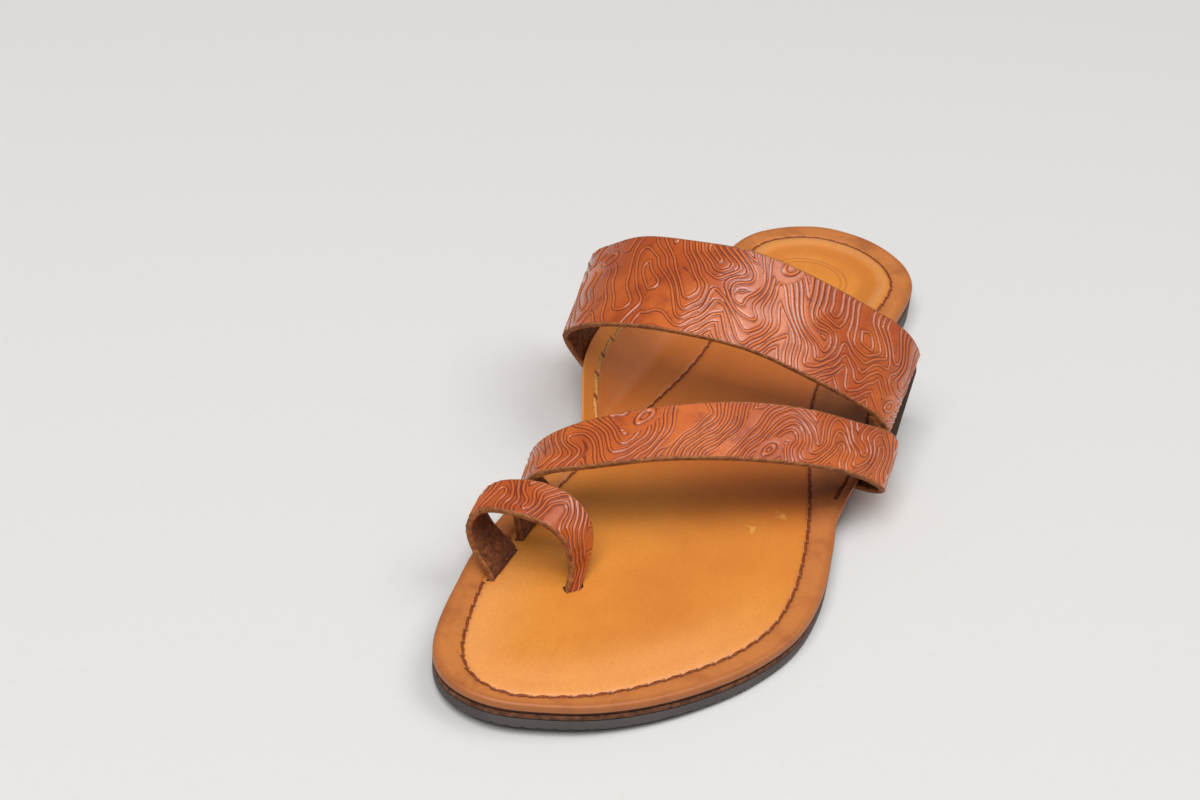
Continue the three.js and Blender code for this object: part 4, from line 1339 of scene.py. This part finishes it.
sole_levels = [(None, ground_height, -TREAD_SKIN), (RUBBER_ROUND + 1, ground_height, -TREAD_SKIN)]
for turn in np.linspace(0, np.pi / 2, ROUND_STEPS):
    inset, rise = RUBBER_ROUND * (1 - math.sin(turn)), RUBBER_ROUND * (1 - math.cos(turn))
    sole_levels.append((inset, ground_height, rise - TREAD_SKIN))
sole_levels += [(inset, rubber_top, rise) for inset, rise in RUBBER_TOP_EDGE]
outsole = make_layer("rubber_sole", layer_rings(sole_levels))
cut(outsole, tread_block(), "INTERSECT")
print("rubber sole has", len(outsole.data.polygons), "faces")

# %% Rubber finish
RUBBER_DARK, RUBBER_GREY = srgb(74, 68, 66), srgb(86, 80, 78)
RUBBER_DUST, RUBBER_PIT_SHADE = srgb(112, 105, 102), srgb(50, 45, 44)
KNURL_PITCH, KNURL_TURNS = 1.05 * MM, np.radians([45, -45])
WAVE_LENGTH = math.pi / 10  # a wave texture of scale 1 repeats after this length


def moulded_rubber():
    """Dusty rubber, knurled where it faces down, with painted shade in the knurl's pits."""
    finish = Finish("sole_rubber", RUBBER_DARK, Specular_IOR_Level=0.4)
    dust = finish.grain(700, 4)
    waves = []
    for turn in KNURL_TURNS:
        turned = finish.node("Mapping", {"Vector": finish.place(), "Rotation": (0, 0, turn)})["Vector"]
        sockets = {"Vector": turned, "Scale": WAVE_LENGTH / KNURL_PITCH, "Distortion": 0.0}
        waves.append(finish.node("TexWave", sockets)["Fac"])
    facing = finish.parts(finish.node("NewGeometry", {})["Normal"])["Z"]
    down = finish.remap(facing, -0.6, -0.9)
    knurl = finish.times(finish.times(*waves), down)
    finish.wash(finish.remap(finish.grain(60, 4), 0.3, 0.7), RUBBER_GREY)
    finish.wash(finish.remap(dust, 0.55, 0.75), RUBBER_DUST, 0.2)
    # painted shade: the pits of the knurl are darkened where the rubber faces down
    finish.wash(finish.times(finish.remap(knurl, 0.3, 0.0), down), RUBBER_PIT_SHADE, 0.45)
    return finish.done(finish.remap(dust, 0.3, 0.7, 0.55, 0.72), (knurl, 0.0006, 1.0), (dust, 0.0002, 0.25))


settle(outsole, "rubber", "outsole", moulded_rubber())

# %% [markdown]
# ## Floor and light
# A product photograph uses large soft lights and pale surfaces all round, which fill the shadows and
# draw long soft highlights on waxed leather. A small lamp close by would light the shoe as softly, but
# leave the far floor dark, so both softboxes are large and hang far away. The floor is plain and pale
# with a faint gloss.
# %% Floor
FLOOR_SIZE = 12.0
FLOOR_DROP = 0.05 * MM  # keeps the floor from lying in the same plane as the tread
FLOOR_CORNERS = ((-1, -1), (1, -1), (1, 1), (-1, 1))


def pale_floor():
    """A pale floor with faint specks."""
    finish = Finish("pale_floor", srgb(215, 213, 211), Roughness=0.5, Specular_IOR_Level=0.35)
    finish.wash(finish.remap(finish.grain(260), 0.58, 0.72), srgb(198, 192, 186), 0.12)
    return finish.done()


floor_mesh = bpy.data.meshes.new("floor")
corners = [(x * FLOOR_SIZE / 2, y * FLOOR_SIZE / 2, -FLOOR_DROP) for x, y in FLOOR_CORNERS]
floor_mesh.from_pydata(corners, [], [range(4)])
floor = bpy.data.objects.new("floor", floor_mesh)
scene.collection.objects.link(floor)
floor.data.materials.append(pale_floor())
print("floor is", FLOOR_SIZE, "m wide")

# %% Lights
LAMPS = [  # name, place in metres, size in metres, watts
    ("overhead_softbox", (-0.1, -1.5, 3.3), 2.2, 113),
    ("side_softbox", (2.2, 0.6, 3.9), 2.6, 75),
]
LAMP_TARGET = Vector((0, 0, 0.03))
STUDIO_WHITE, STUDIO_STRENGTH = (1.0, 0.98, 0.96, 1), 0.2
scene.view_settings.view_transform = "Standard"
scene.world = bpy.data.worlds.new("studio")
scene.world.use_nodes = True
studio = scene.world.node_tree.nodes["Background"].inputs
studio["Color"].default_value = STUDIO_WHITE
studio["Strength"].default_value = STUDIO_STRENGTH
for name, place, size, watts in LAMPS:
    lamp = bpy.data.lights.new(name, "AREA")
    lamp.shape = "SQUARE"
    lamp.size = size
    lamp.energy = watts
    light = bpy.data.objects.new(name, lamp)
    light.location = place
    light.rotation_mode = "QUATERNION"
    light.rotation_quaternion = (Vector(place) - LAMP_TARGET).to_track_quat("Z", "Y")
    scene.collection.objects.link(light)
print("lamps:", [lamp[0] for lamp in LAMPS])
